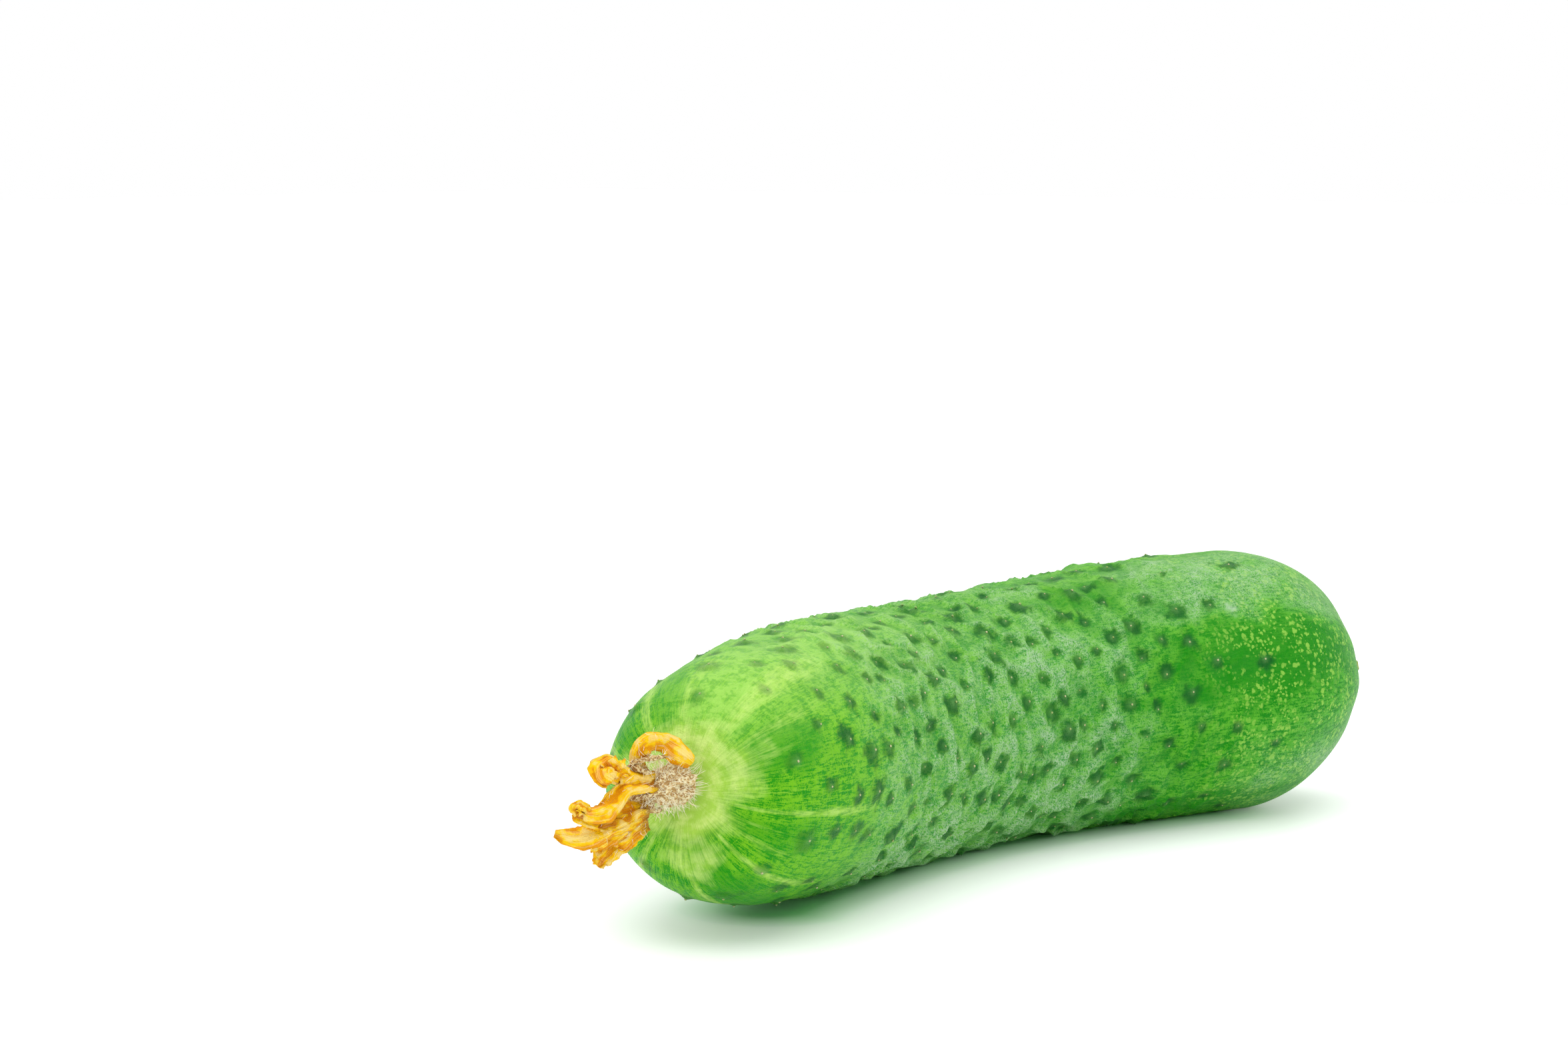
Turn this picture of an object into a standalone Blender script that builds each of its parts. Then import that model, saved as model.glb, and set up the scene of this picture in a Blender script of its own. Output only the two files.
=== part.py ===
"""A short prickly cucumber, as picked, lying on its belly with its withered flower still on.

The origin is on the flat of the belly, under the middle of the fruit's length. +X runs from the
flower to the stem, the fruit bends in the XY plane with its hollow side towards -Y, and +Z is up.
Every size is in metres, and the sizes below drive the whole model.
"""

import math

import bmesh
import bpy
from mathutils import Vector

MM = 0.001

# The fruit: a round section swept along a bent centreline.
LENGTH = 125 * MM
BEND = 16.3 * MM  # how far the two ends lie off the line of the middle
BELLY_SINK = 0.34 * MM  # depth of the flat that the fruit's own weight rests on
BLOSSOM_RADIUS = 13.6 * MM
WAIST_RADIUS = 15.1 * MM
STEM_RADIUS = 16.6 * MM
WAIST_FROM, WAIST_TO, WIDE_FROM, WIDE_TO = 0.0, 0.3, 0.45, 0.9  # as shares of the length
BLOSSOM_CAP, BLOSSOM_BLUNTNESS = 26.7 * MM, 3.46
STEM_CAP, STEM_BLUNTNESS = 17.2 * MM, 1.9
BLOSSOM_LIFT = 3.95 * MM  # the flower end rises off the ground
LIFT_FROM = 0.05  # the rise begins this share of the length before the middle
DIMPLE_DEPTH, DIMPLE_RADIUS = 2.0 * MM, 6.5 * MM
LOBES, LOBE_DEPTH, LOBE_REACH = 5, 0.35 * MM, 24 * MM
FRUIT_SIDES, FRUIT_RINGS = 40, 44

# The cut stub of the stem, in the dimple. Its seat clears the rise of the dimple under its rim.
STUB_LENGTH, STUB_RADIUS, STUB_FLARE, STUB_RIM = 3.2 * MM, 1.9 * MM, 1.3, 0.25 * MM

STUB_SEAT = 0.8 * MM

# The withered flower. Its points are in millimetres from the fruit's blossom tip.
COLLAR = [  # (point, radius): the shrunken base of the flower
    ((-0.6, -0.2, 0.1), 2.1),
    ((-1.8, -0.6, 0.2), 2.35),
    ((-3.2, -0.9, 0.3), 2.2),
    ((-4.6, -1.1, 0.3), 1.75),
]
PETAL_THICKNESS = 0.45 * MM
PETAL_ROOT_SHARE = 0.45  # of a petal's width, at its very root
PETALS = {  # name: (width in mm, way the flat side faces, route)
    "petal_top": (1.9, (-0.3, -0.6, 1.0), [
        (-5.6, -0.9, 2.2), (-7.4, -0.7, 3.8), (-7.6, -0.6, 5.8), (-5.6, -1.1, 7.0),
        (-3.2, -1.7, 5.6), (-1.5, -2.4, 3.9)]),
    "petal_curled": (2.1, (-0.6, -0.5, 0.9), [
        (-6.2, 0.1, 1.6), (-8.8, 0.1, 2.8), (-11.4, 0.2, 4.3), (-13.3, 0.1, 4.5),
        (-14.2, -0.4, 3.3), (-13.6, -1.2, 2.4)]),
    "petal_middle": (2.2, (-0.5, -1.0, 0.7), [
        (-6.0, -1.9, 0.9), (-8.6, -2.0, 1.8), (-11.8, -1.9, 1.0), (-14.4, -1.5, -0.2),
        (-16.4, -1.0, -0.4), (-16.9, -0.5, 0.7)]),
    "petal_long": (2.1, (-0.6, -0.9, 0.4), [
        (-6.2, -1.0, -0.6), (-9.2, -0.9, -1.3), (-12.4, -0.4, -2.2), (-14.8, 0.6, -2.7),
        (-16.8, 2.6, -2.3)]),
    "petal_bottom": (2.2, (-0.5, -1.0, 0.1), [
        (-5.9, -1.1, -2.3), (-8.0, -0.9, -3.4), (-10.3, -0.3, -4.6), (-12.3, 0.2, -5.9)]),
}
SEPAL_RADIUS = 0.32 * MM
SEPALS = {  # the five dried calyx lobes, folded back round the mouth of the collar
    "sepal_upper": [(-7.0, -1.6, 3.1), (-5.6, -2.2, 3.5), (-4.0, -2.6, 3.5), (-2.4, -2.9, 3.3)],
    "sepal_front": [(-5.3, -3.3, 0.8), (-4.0, -3.8, 0.5), (-2.6, -3.9, 0.2), (-1.3, -3.7, -0.3)],
    "sepal_lower": [(-5.2, -2.4, -2.1), (-3.9, -2.6, -2.6), (-2.5, -2.5, -2.9), (-1.2, -2.2, -3.0)],
    "sepal_back": [(-5.0, 0.9, -1.5), (-3.7, 1.5, -1.8), (-2.4, 1.9, -1.9), (-1.2, 2.2, -1.9)],
    "sepal_rear": [(-4.9, 1.3, 1.4), (-3.6, 1.8, 1.9), (-2.3, 2.2, 2.1), (-1.1, 2.5, 2.2)],
}


def clear_scene():
    """Start from an empty file."""
    for found in list(bpy.data.objects):
        bpy.data.objects.remove(found)


def smooth_step(value, low, high):
    """0 below low, 1 above high, and a smooth rise between them."""
    share = min(1.0, max(0.0, (value - low) / (high - low)))
    return share * share * (3.0 - 2.0 * share)


def girth(station):
    """The fruit's radius before its ends are rounded, at a distance along it."""
    share = station / LENGTH
    slimmer = (WAIST_RADIUS - BLOSSOM_RADIUS) * (1.0 - smooth_step(share, WAIST_FROM, WAIST_TO))
    wider = (STEM_RADIUS - WAIST_RADIUS) * smooth_step(share, WIDE_FROM, WIDE_TO)
    return WAIST_RADIUS - slimmer + wider


def rounded_end(distance, cap, bluntness):
    """A superellipse from 0 at the tip to 1 where the cap ends."""
    inner = max(0.0, 1.0 - distance / cap)
    return max(0.0, 1.0 - inner**bluntness) ** (1.0 / bluntness)


def radius(station, angle):
    """The fruit's radius at a distance along it and an angle round it."""
    blossom = rounded_end(station, BLOSSOM_CAP, BLOSSOM_BLUNTNESS)
    stem = rounded_end(LENGTH - station, STEM_CAP, STEM_BLUNTNESS)
    reach = smooth_step(station, LENGTH - LOBE_REACH, LENGTH)
    lobes = LOBE_DEPTH * reach * stem * math.cos(LOBES * angle)
    return girth(station) * blossom * stem + lobes


def centre(station):
    """The point of the bent centreline at a distance along the fruit."""
    run = station - LENGTH / 2
    rise = max(0.0, (-run - LIFT_FROM * LENGTH) / ((0.5 - LIFT_FROM) * LENGTH))
    side = -BEND * (1.0 - math.cos(math.pi * run / LENGTH))
    return Vector((run, side, girth(station) - BELLY_SINK + BLOSSOM_LIFT * rise**2))


def section_axes(station):
    """The centreline's direction, and the section's sideways and upward directions."""
    step = 0.1 * MM
    along = (centre(min(LENGTH, station + step)) - centre(max(0.0, station - step))).normalized()
    side = along.cross(Vector((0, 0, 1))).normalized()
    return along, side, side.cross(along)


def skin_point(station, angle):
    """A point of the skin: swept, dimpled at the stem and flat where it rests."""
    along, side, up = section_axes(station)
    reach = radius(station, angle)
    point = centre(station) + reach * (math.cos(angle) * side + math.sin(angle) * up)
    if station > LENGTH / 2:
        point -= along * DIMPLE_DEPTH * (1.0 - smooth_step(reach, 0.0, DIMPLE_RADIUS))
    point.z = max(0.0, point.z)
    return point


def smooth_route(points, steps):
    """Points on a smooth curve through the given ones, steps of them to each stretch."""
    ends = [2 * points[0] - points[1], *points, 2 * points[-1] - points[-2]]
    route = []
    for first, start, stop, last in zip(ends, ends[1:], ends[2:], ends[3:]):
        for step in range(steps):
            t = step / steps
            bend = (2 * first - 5 * start + 4 * stop - last) * t**2
            twist = (3 * (start - stop) + last - first) * t**3
            route.append((2 * start + (stop - first) * t + bend + twist) / 2)
    return [*route, points[-1]]


def from_tip(point):
    """A flower point, given in millimetres from the blossom tip, in the fruit's frame."""
    return centre(0.0) + Vector(point) * MM


def finish(name, data, colour, roughness):
    """Put a shape in the collection as a named object with its own material."""
    made = bpy.data.objects.new(name, data)
    bpy.data.collections["cucumber"].objects.link(made)
    material = bpy.data.materials.new(name)
    material.use_nodes = True
    surface = material.node_tree.nodes["Principled BSDF"]
    surface.inputs["Base Color"].default_value = (*colour, 1.0)
    surface.inputs["Roughness"].default_value = roughness
    surface.inputs["Metallic"].default_value = 0.0
    data.materials.append(material)
    return made


def mesh_from(name, shape):
    """A smooth-shaded mesh from a bmesh."""
    mesh = bpy.data.meshes.new(name)
    shape.to_mesh(mesh)
    shape.free()
    mesh.shade_smooth()
    return mesh


def make_fruit():
    """The whole fruit, from a sphere whose poles become the blossom tip and the stem dimple."""
    ball = bmesh.new()
    bmesh.ops.create_uvsphere(ball, u_segments=FRUIT_SIDES, v_segments=FRUIT_RINGS, radius=1.0)
    for vert in ball.verts:
        station = LENGTH / 2 * (1.0 - vert.co.z)
        vert.co = skin_point(station, math.atan2(vert.co.y, vert.co.x))
    finish("fruit", mesh_from("fruit", ball), (0.09, 0.33, 0.04), 0.42)


def make_stem_stub():
    """The cut stub of the stem, flared where it leaves the dimple."""
    along, side, up = section_axes(LENGTH)
    foot = centre(LENGTH) + along * (STUB_SEAT - DIMPLE_DEPTH)
    stub = bmesh.new()
    bmesh.ops.create_cone(
        stub, cap_ends=True, segments=20, radius1=STUB_RADIUS * STUB_FLARE,
        radius2=STUB_RADIUS, depth=STUB_LENGTH)
    for vert in stub.verts:
        height = vert.co.z + STUB_LENGTH / 2
        vert.co = foot + along * height + up * vert.co.x + side * vert.co.y
    made = finish("stem_stub", mesh_from("stem_stub", stub), (0.36, 0.45, 0.12), 0.6)
    bevel = made.modifiers.new("soft rim", "BEVEL")
    bevel.width = STUB_RIM
    bevel.segments = 2


def make_tube(name, points, radii, depth, colour, roughness):
    """A round solid along a curve, with its own radius at each point and closed ends."""
    curve = bpy.data.curves.new(name, "CURVE")
    curve.dimensions = "3D"
    curve.bevel_depth = depth
    curve.bevel_resolution = 2
    curve.use_fill_caps = True
    spline = curve.splines.new("POLY")
    spline.points.add(len(points) - 1)
    for target, point, thickness in zip(spline.points, points, radii):
        target.co = (*point, 1.0)
        target.radius = thickness
    finish(name, curve, colour, roughness)


def make_collar():
    """The shrunken base of the flower, on the blossom tip."""
    points = smooth_route([from_tip(point) for point, _ in COLLAR], 4)
    sizes = smooth_route([Vector((size, 0, 0)) for _, size in COLLAR], 4)
    make_tube("flower_collar", points, [size.x for size in sizes], MM, (0.42, 0.30, 0.14), 0.9)


def make_petal(name, width, facing, route):
    """A shrivelled petal: a cupped strip along its route, narrow at its root and its tip."""
    points = smooth_route([from_tip(point) for point in route], 4)
    across_steps = 4
    strip = bmesh.new()
    bmesh.ops.create_grid(
        strip, x_segments=len(points) - 1, y_segments=across_steps, size=1.0)
    flat = Vector(facing).normalized()
    for vert in strip.verts:
        place = round((vert.co.x + 1.0) / 2 * (len(points) - 1))
        before, after = points[max(0, place - 1)], points[min(len(points) - 1, place + 1)]
        across = (after - before).normalized().cross(flat).normalized()
        share = place / (len(points) - 1)
        swell = math.sin(math.pi * (0.15 + 0.8 * share))
        half = width * MM / 2 * (PETAL_ROOT_SHARE + (1.0 - PETAL_ROOT_SHARE) * swell)
        vert.co = points[place] + across * half * vert.co.y
    made = finish(name, mesh_from(name, strip), (0.90, 0.47, 0.03), 0.7)
    wall = made.modifiers.new("petal wall", "SOLIDIFY")
    wall.thickness = PETAL_THICKNESS
    wall.offset = 0.0


def make_sepals():
    """The five calyx lobes, each tapering to a point."""
    for name, route in SEPALS.items():
        points = smooth_route([from_tip(point) for point in route], 3)
        last = len(points) - 1
        radii = [1.0 - 0.75 * (place / last) ** 2 for place in range(last + 1)]
        make_tube(name, points, radii, SEPAL_RADIUS, (0.35, 0.24, 0.12), 0.9)


def main():
    clear_scene()
    bpy.context.scene.collection.children.link(bpy.data.collections.new("cucumber"))
    make_fruit()
    make_stem_stub()
    make_collar()
    for name, (width, facing, route) in PETALS.items():
        make_petal(name, width, facing, route)
    make_sepals()


main()
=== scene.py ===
"""A short prickly cucumber, lying on its belly, with its withered flower still on."""
import itertools
import math
import random

import bmesh
import bpy
import numpy as np
from bpy.props import FloatProperty, FloatVectorProperty, IntProperty, PointerProperty
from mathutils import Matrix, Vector


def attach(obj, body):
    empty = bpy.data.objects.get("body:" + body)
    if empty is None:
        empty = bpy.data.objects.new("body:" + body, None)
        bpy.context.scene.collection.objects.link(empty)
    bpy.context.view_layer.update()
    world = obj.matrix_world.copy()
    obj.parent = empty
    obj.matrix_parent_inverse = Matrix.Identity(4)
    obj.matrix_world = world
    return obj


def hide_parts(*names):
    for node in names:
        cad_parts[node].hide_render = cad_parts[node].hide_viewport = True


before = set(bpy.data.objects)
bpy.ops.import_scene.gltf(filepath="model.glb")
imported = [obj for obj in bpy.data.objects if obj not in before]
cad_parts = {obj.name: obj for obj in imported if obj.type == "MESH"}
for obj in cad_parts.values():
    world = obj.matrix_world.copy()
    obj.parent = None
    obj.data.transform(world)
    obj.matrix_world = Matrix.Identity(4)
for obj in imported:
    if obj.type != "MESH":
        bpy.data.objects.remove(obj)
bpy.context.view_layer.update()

bl_info = {
    "name": "Prickly Cucumber",
    "version": (1, 0, 0),
    "blender": (4, 5, 0),
    "location": "View3D > Sidebar > Cucumber",
    "description": "Builds a fresh prickly cucumber with its withered flower",
    "category": "Object",
}

BODY = "root"
MM = 0.001                      # lengths below are in millimetres, as the fruit is measured
NO_LIMBS_WAY = (0.13, 0.27, 0.95)   # no lobe, collar or hair runs along this direction

# The fruit's smooth form, as its solid has it.
BELLY_SINK = 0.34               # how far the belly is pressed flat
WAIST_TO = 0.3                  # share of the length over which the blossom end widens
WIDE_FROM, WIDE_TO = 0.45, 0.9  # shares between which the stem end widens
BLOSSOM_CAP, BLOSSOM_BLUNTNESS = 26.7, 3.46
STEM_CAP, STEM_BLUNTNESS = 17.2, 1.9
BLOSSOM_LIFT, LIFT_FROM = 3.95, 0.05
DIMPLE_DEPTH, DIMPLE_RADIUS = 2.0, 6.5
LOBES, LOBE_DEPTH, LOBE_REACH = 5, 0.35, 24.0

STUB_LENGTH, STUB_RADIUS, STUB_FLARE, STUB_SEAT = 3.2, 1.9, 1.3, 0.8
# From the hidden foot up the side, over the rim and in to the middle of the cut face:
# share of the way, distance out and height.
STUB_OUTLINE = (
    (0.0, 0.0, 0.0), (0.08, STUB_RADIUS + STUB_FLARE, 0.0),
    (0.2, STUB_RADIUS + 0.75 * STUB_FLARE, 0.45), (0.5, STUB_RADIUS * 1.02, 1.9),
    (0.76, STUB_RADIUS * 0.98, STUB_LENGTH - 0.2), (0.82, STUB_RADIUS * 0.86, STUB_LENGTH - 0.02),
    (0.9, STUB_RADIUS * 0.5, STUB_LENGTH - 0.18), (1.0, 0.0, STUB_LENGTH - 0.32),
)

# The flower, in millimetres from the blossom tip.
COLLAR = ((-0.3, 0.0, 0.5), (-1.9, -0.4, 1.1), (-3.4, -0.7, 1.3), (-5.0, -0.8, 1.2),
          (-6.7, -0.7, 1.2))
COLLAR_RADII = (1.9, 2.2, 2.0, 1.6, 1.3)


# ---------------------------------------------------------------- settings

class CucumberSkinSettings(bpy.types.PropertyGroup):
    """Sizes and colours of the fruit and its skin"""

    length: FloatProperty(
        name="Length", description="Length of the fruit from pole to pole",
        default=0.125, min=0.05, max=0.3, unit="LENGTH", subtype="DISTANCE")
    bend: FloatProperty(
        name="Bend", description="How far the ends swing to one side of the middle",
        default=0.0163, min=0.0, max=0.05, unit="LENGTH", subtype="DISTANCE")
    blossom_radius: FloatProperty(
        name="Blossom Radius", description="Girth radius at the flower end",
        default=0.0136, min=0.005, max=0.04, unit="LENGTH", subtype="DISTANCE")
    waist_radius: FloatProperty(
        name="Waist Radius", description="Girth radius at the middle",
        default=0.0151, min=0.005, max=0.04, unit="LENGTH", subtype="DISTANCE")
    stem_radius: FloatProperty(
        name="Stem Radius", description="Girth radius at the stem end",
        default=0.0166, min=0.005, max=0.04, unit="LENGTH", subtype="DISTANCE")
    wart_spacing: FloatProperty(
        name="Wart Spacing", description="Least distance between warts at the middle",
        default=0.0034, min=0.002, max=0.02, unit="LENGTH", subtype="DISTANCE")
    wart_height: FloatProperty(
        name="Wart Height", description="Height of a full-grown wart",
        default=0.00045, min=0.0, max=0.002, unit="LENGTH", subtype="DISTANCE")
    ridge_height: FloatProperty(
        name="Ridge Height", description="Height of the soft ridges between the warts",
        default=0.00062, min=0.0, max=0.002, unit="LENGTH", subtype="DISTANCE")
    seed: IntProperty(
        name="Seed", description="Seed for the places of the warts", default=7, min=0)
    deep_green: FloatVectorProperty(
        name="Deep Green", description="Skin between the stripes",
        default=(0.010, 0.27, 0.0), size=3, min=0.0, max=1.0, subtype="COLOR")
    leaf_green: FloatVectorProperty(
        name="Leaf Green", description="Mottling over the deep green",
        default=(0.155, 0.48, 0.008), size=3, min=0.0, max=1.0, subtype="COLOR")
    pale_green: FloatVectorProperty(
        name="Pale Green", description="Stripes and the disc around the flower",
        default=(0.62, 0.82, 0.22), size=3, min=0.0, max=1.0, subtype="COLOR")
    # Painted light: the upper side of the flower end, lighter where light from above falls.
    lit_top_green: FloatVectorProperty(
        name="Fresh Green", description="The lightest side of the flower end",
        default=(0.31, 0.63, 0.09), size=3, min=0.0, max=1.0, subtype="COLOR")
    bloom: FloatVectorProperty(
        name="Bloom", description="The fine waxy bloom",
        default=(0.35, 0.53, 0.31), size=3, min=0.0, max=1.0, subtype="COLOR")
    halo: FloatVectorProperty(
        name="Halo", description="The dark green around a wart",
        default=(0.002, 0.095, 0.010), size=3, min=0.0, max=1.0, subtype="COLOR")
    freckle: FloatVectorProperty(
        name="Freckle", description="Freckles of the stem end",
        default=(0.27, 0.55, 0.07), size=3, min=0.0, max=1.0, subtype="COLOR")
    spine: FloatVectorProperty(
        name="Spine Tip", description="The dry tip of a wart",
        default=(0.62, 0.60, 0.36), size=3, min=0.0, max=1.0, subtype="COLOR")


class CucumberFlowerSettings(bpy.types.PropertyGroup):
    """Sizes and colours of the withered flower"""

    petal_thickness: FloatProperty(
        name="Petal Thickness", description="Thickness of a dried petal",
        default=0.00016, min=0.00005, max=0.001, unit="LENGTH", subtype="DISTANCE")
    hair_length: FloatProperty(
        name="Hair Length", description="Length of the longest collar hairs",
        default=0.0022, min=0.0002, max=0.01, unit="LENGTH", subtype="DISTANCE")
    hair_radius: FloatProperty(
        name="Hair Radius", description="Radius of a hair at its root",
        default=0.000027, min=0.00001, max=0.0005, unit="LENGTH", subtype="DISTANCE")
    hair_count: IntProperty(
        name="Hair Count", description="Hairs on the collar", default=640, min=0, max=3000)
    seed: IntProperty(
        name="Seed", description="Seed for the hairs", default=11, min=0)
    yellow: FloatVectorProperty(
        name="Yellow", description="Broad sides of the petals",
        default=(1.0, 0.62, 0.0), size=3, min=0.0, max=1.0, subtype="COLOR")
    # Painted shade: the redder colour the petals take in their hollows.
    shade_orange: FloatVectorProperty(
        name="Orange", description="Hollows of the petals",
        default=(0.84, 0.33, 0.001), size=3, min=0.0, max=1.0, subtype="COLOR")
    # Partly pale dried tissue, partly painted highlight on the highest folds.
    cream_and_highlight: FloatVectorProperty(
        name="Cream", description="Dried ridges of the petals",
        default=(0.92, 0.76, 0.38), size=3, min=0.0, max=1.0, subtype="COLOR")
    brown: FloatVectorProperty(
        name="Brown", description="Roots and frayed ends of the petals",
        default=(0.30, 0.13, 0.03), size=3, min=0.0, max=1.0, subtype="COLOR")
    hair: FloatVectorProperty(
        name="Hair", description="Collar hairs",
        default=(1.0, 0.98, 0.80), size=3, min=0.0, max=1.0, subtype="COLOR")


class CucumberStageSettings(bpy.types.PropertyGroup):
    """Camera, light and floor"""

    lens: FloatProperty(
        name="Lens", description="Focal length of the camera in millimetres",
        default=85.0, min=10.0, max=300.0)
    distance: FloatProperty(
        name="Distance", description="Distance from the camera to what it aims at",
        default=0.4447, min=0.1, max=5.0, unit="LENGTH", subtype="DISTANCE")
    azimuth: FloatProperty(
        name="Azimuth", description="Turn of the camera about the vertical",
        default=math.radians(-48.57), unit="ROTATION", subtype="ANGLE")
    elevation: FloatProperty(
        name="Elevation", description="Height of the camera as an angle",
        default=math.radians(6.23), unit="ROTATION", subtype="ANGLE")
    floor_size: FloatProperty(
        name="Floor Size", description="Side of the square floor",
        default=6.0, min=0.5, max=20.0, unit="LENGTH", subtype="DISTANCE")
    sky: FloatProperty(
        name="Surroundings", description="Light that the white surroundings give",
        default=0.93, min=0.0, max=5.0)
    overhead: FloatProperty(
        name="Overhead Light", description="Strength of the broad overhead light",
        default=1.55, min=0.0, max=50.0)
    softness: FloatProperty(
        name="Softness", description="How broad the overhead light is",
        default=math.radians(62.0), min=0.0, max=math.pi, unit="ROTATION", subtype="ANGLE")


# ---------------------------------------------------------------- shape helpers

def smooth_step(value, low, high):
    """0 below low, 1 above high, with a soft run between them."""
    share = np.clip((value - low) / (high - low), 0.0, 1.0)
    return share * share * (3.0 - 2.0 * share)


def unit(vectors):
    """The vectors at length 1."""
    return vectors / np.maximum(np.linalg.norm(vectors, axis=-1, keepdims=True), 1e-12)


LATTICE = np.random.default_rng(5).normal(size=(32, 32, 32, 3))
LATTICE /= np.linalg.norm(LATTICE, axis=-1, keepdims=True)


def waves(points, size, shift=0.0):
    """Soft noise from about -1 to 1 at each point, with waves of about the given size."""
    moved = np.asarray(points, float) / size + shift
    cell = np.floor(moved).astype(int)
    part = moved - cell
    soft = part ** 3 * (part * (part * 6 - 15) + 10)
    total = np.zeros(len(moved))
    for corner in itertools.product((0, 1), repeat=3):
        share = np.prod(np.where(corner, soft, 1 - soft), axis=1)
        slope = LATTICE[tuple(((cell + corner) & 31).T)]
        total += share * (slope * (part - corner)).sum(axis=1)
    return 1.5 * total


def wave_vectors(points, size, shift=0.0):
    """Soft noise vectors at each point."""
    return np.stack([waves(points, size, shift + move) for move in (0.0, 7.3, 13.9)], axis=-1)


def along(route, shares):
    """Points of a smooth curve through the route's points, at shares from 0 to 1."""
    points = np.array(route, float)
    padded = np.vstack((2 * points[0] - points[1], points, 2 * points[-1] - points[-2]))
    place = np.clip(shares, 0.0, 1.0) * (len(points) - 1)
    first = np.minimum(place.astype(int), len(points) - 2)
    t = (place - first)[:, None]
    a, b, c, d = (padded[first + k] for k in range(4))
    return 0.5 * (2 * b + (c - a) * t + (2 * a - 5 * b + 4 * c - d) * t ** 2
                  + (3 * b - 3 * c + d - a) * t ** 3)


class FruitForm:
    """The fruit's smooth outer form, in millimetres, at any station and angle."""

    def __init__(self, skin):
        self.length = skin.length / MM
        self.bend = skin.bend / MM
        self.blossom = skin.blossom_radius / MM
        self.waist = skin.waist_radius / MM
        self.stem = skin.stem_radius / MM

    def girth(self, station):
        """Half width before the ends are rounded."""
        share = station / self.length
        return (self.waist
                - (self.waist - self.blossom) * (1 - smooth_step(share, 0.0, WAIST_TO))
                + (self.stem - self.waist) * smooth_step(share, WIDE_FROM, WIDE_TO))

    def ends(self, station):
        """How much of the girth the blossom end and the stem end leave."""
        def rounded(depth, cap, bluntness):
            left = np.maximum(0.0, 1.0 - depth / cap) ** bluntness
            return np.maximum(1.0 - left, 0.0) ** (1.0 / bluntness)
        stem = rounded(self.length - station, STEM_CAP, STEM_BLUNTNESS)
        return rounded(station, BLOSSOM_CAP, BLOSSOM_BLUNTNESS), stem

    def radius(self, station, angle):
        """Distance from the axis to the skin, with the soft lobes of the stem end."""
        blossom, stem = self.ends(station)
        lobes = LOBE_DEPTH * smooth_step(station, self.length - LOBE_REACH, self.length)
        return self.girth(station) * blossom * stem + lobes * stem * np.cos(LOBES * angle)

    def centre(self, station):
        """Points of the bent axis, which rises at the blossom end."""
        run = station - self.length / 2
        rise = (-run - LIFT_FROM * self.length) / ((0.5 - LIFT_FROM) * self.length)
        return np.stack((
            run,
            -self.bend * (1 - np.cos(math.pi * run / self.length)),
            self.girth(station) - BELLY_SINK + BLOSSOM_LIFT * np.maximum(0.0, rise) ** 2,
        ), axis=-1)

    def axes(self, station):
        """Directions along the axis, to its side and upwards."""
        ahead = unit(self.centre(station + 0.05) - self.centre(station - 0.05))
        side = unit(np.cross(ahead, (0.0, 0.0, 1.0)))
        return ahead, side, np.cross(side, ahead)

    def point(self, station, angle):
        """Points of the skin, with the stem's dimple and the flat of the belly."""
        ahead, side, up = self.axes(station)
        radius = self.radius(station, angle)
        points = self.centre(station) + radius[:, None] * (
            np.cos(angle)[:, None] * side + np.sin(angle)[:, None] * up)
        sunk = DIMPLE_DEPTH * (1 - smooth_step(radius, 0.0, DIMPLE_RADIUS))
        points = points - ahead * np.where(station > self.length / 2, sunk, 0.0)[:, None]
        points[:, 2] = np.maximum(points[:, 2], 0.0)
        return points

    def outward(self, station, angle):
        """Directions straight out of the skin."""
        run = self.point(station + 0.05, angle) - self.point(station - 0.05, angle)
        turn = self.point(station, angle + 0.004) - self.point(station, angle - 0.004)
        normal = unit(np.cross(turn, run))
        away = self.point(station, angle) - self.centre(station)
        return normal * np.sign((normal * away).sum(-1))[:, None]

    def meridian(self):
        """Stations, closely spaced, and the distance over the skin to each."""
        stations = self.length / 2 * (1 - np.cos(np.linspace(0, math.pi, 4001)))
        blossom, stem = self.ends(stations)
        radii = self.girth(stations) * blossom * stem
        steps = np.hypot(np.diff(stations), np.diff(radii))
        return stations, np.concatenate(((0.0,), np.cumsum(steps)))

    def tip(self):
        """The blossom tip, from which the flower is placed."""
        return self.centre(np.array([0.0]))[0]


def sphere_shares(sphere):
    """Share of the way from the lower pole to the upper one, and angle round the axis."""
    share = np.arccos(np.clip(-sphere[:, 2], -1, 1)) / math.pi
    return share, np.arctan2(sphere[:, 1], sphere[:, 0])


def limb_axes(route, share):
    """The way along a limb and two directions across it, at each share of its route."""
    ahead = unit(along(route, share + 0.02) - along(route, share - 0.02))
    first = unit(np.cross(ahead, NO_LIMBS_WAY))
    return ahead, first, np.cross(ahead, first)


def evenly(share, values):
    """Reads values that stand at even steps from share 0 to share 1."""
    return np.interp(share, np.linspace(0, 1, len(values)), values)


def limb_places(sphere, route, radii, flat=1.0, blunt=0.3):
    """Where a sphere's points go when it is drawn out into a limb along a route."""
    share, angle = sphere_shares(sphere)
    _, first, second = limb_axes(route, share)
    radius = evenly(share, radii) * np.clip(np.sin(math.pi * share) / blunt, 0.0, 1.0) ** 0.6
    return along(route, share) + radius[:, None] * (
        np.cos(angle)[:, None] * first + flat * np.sin(angle)[:, None] * second)


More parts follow.
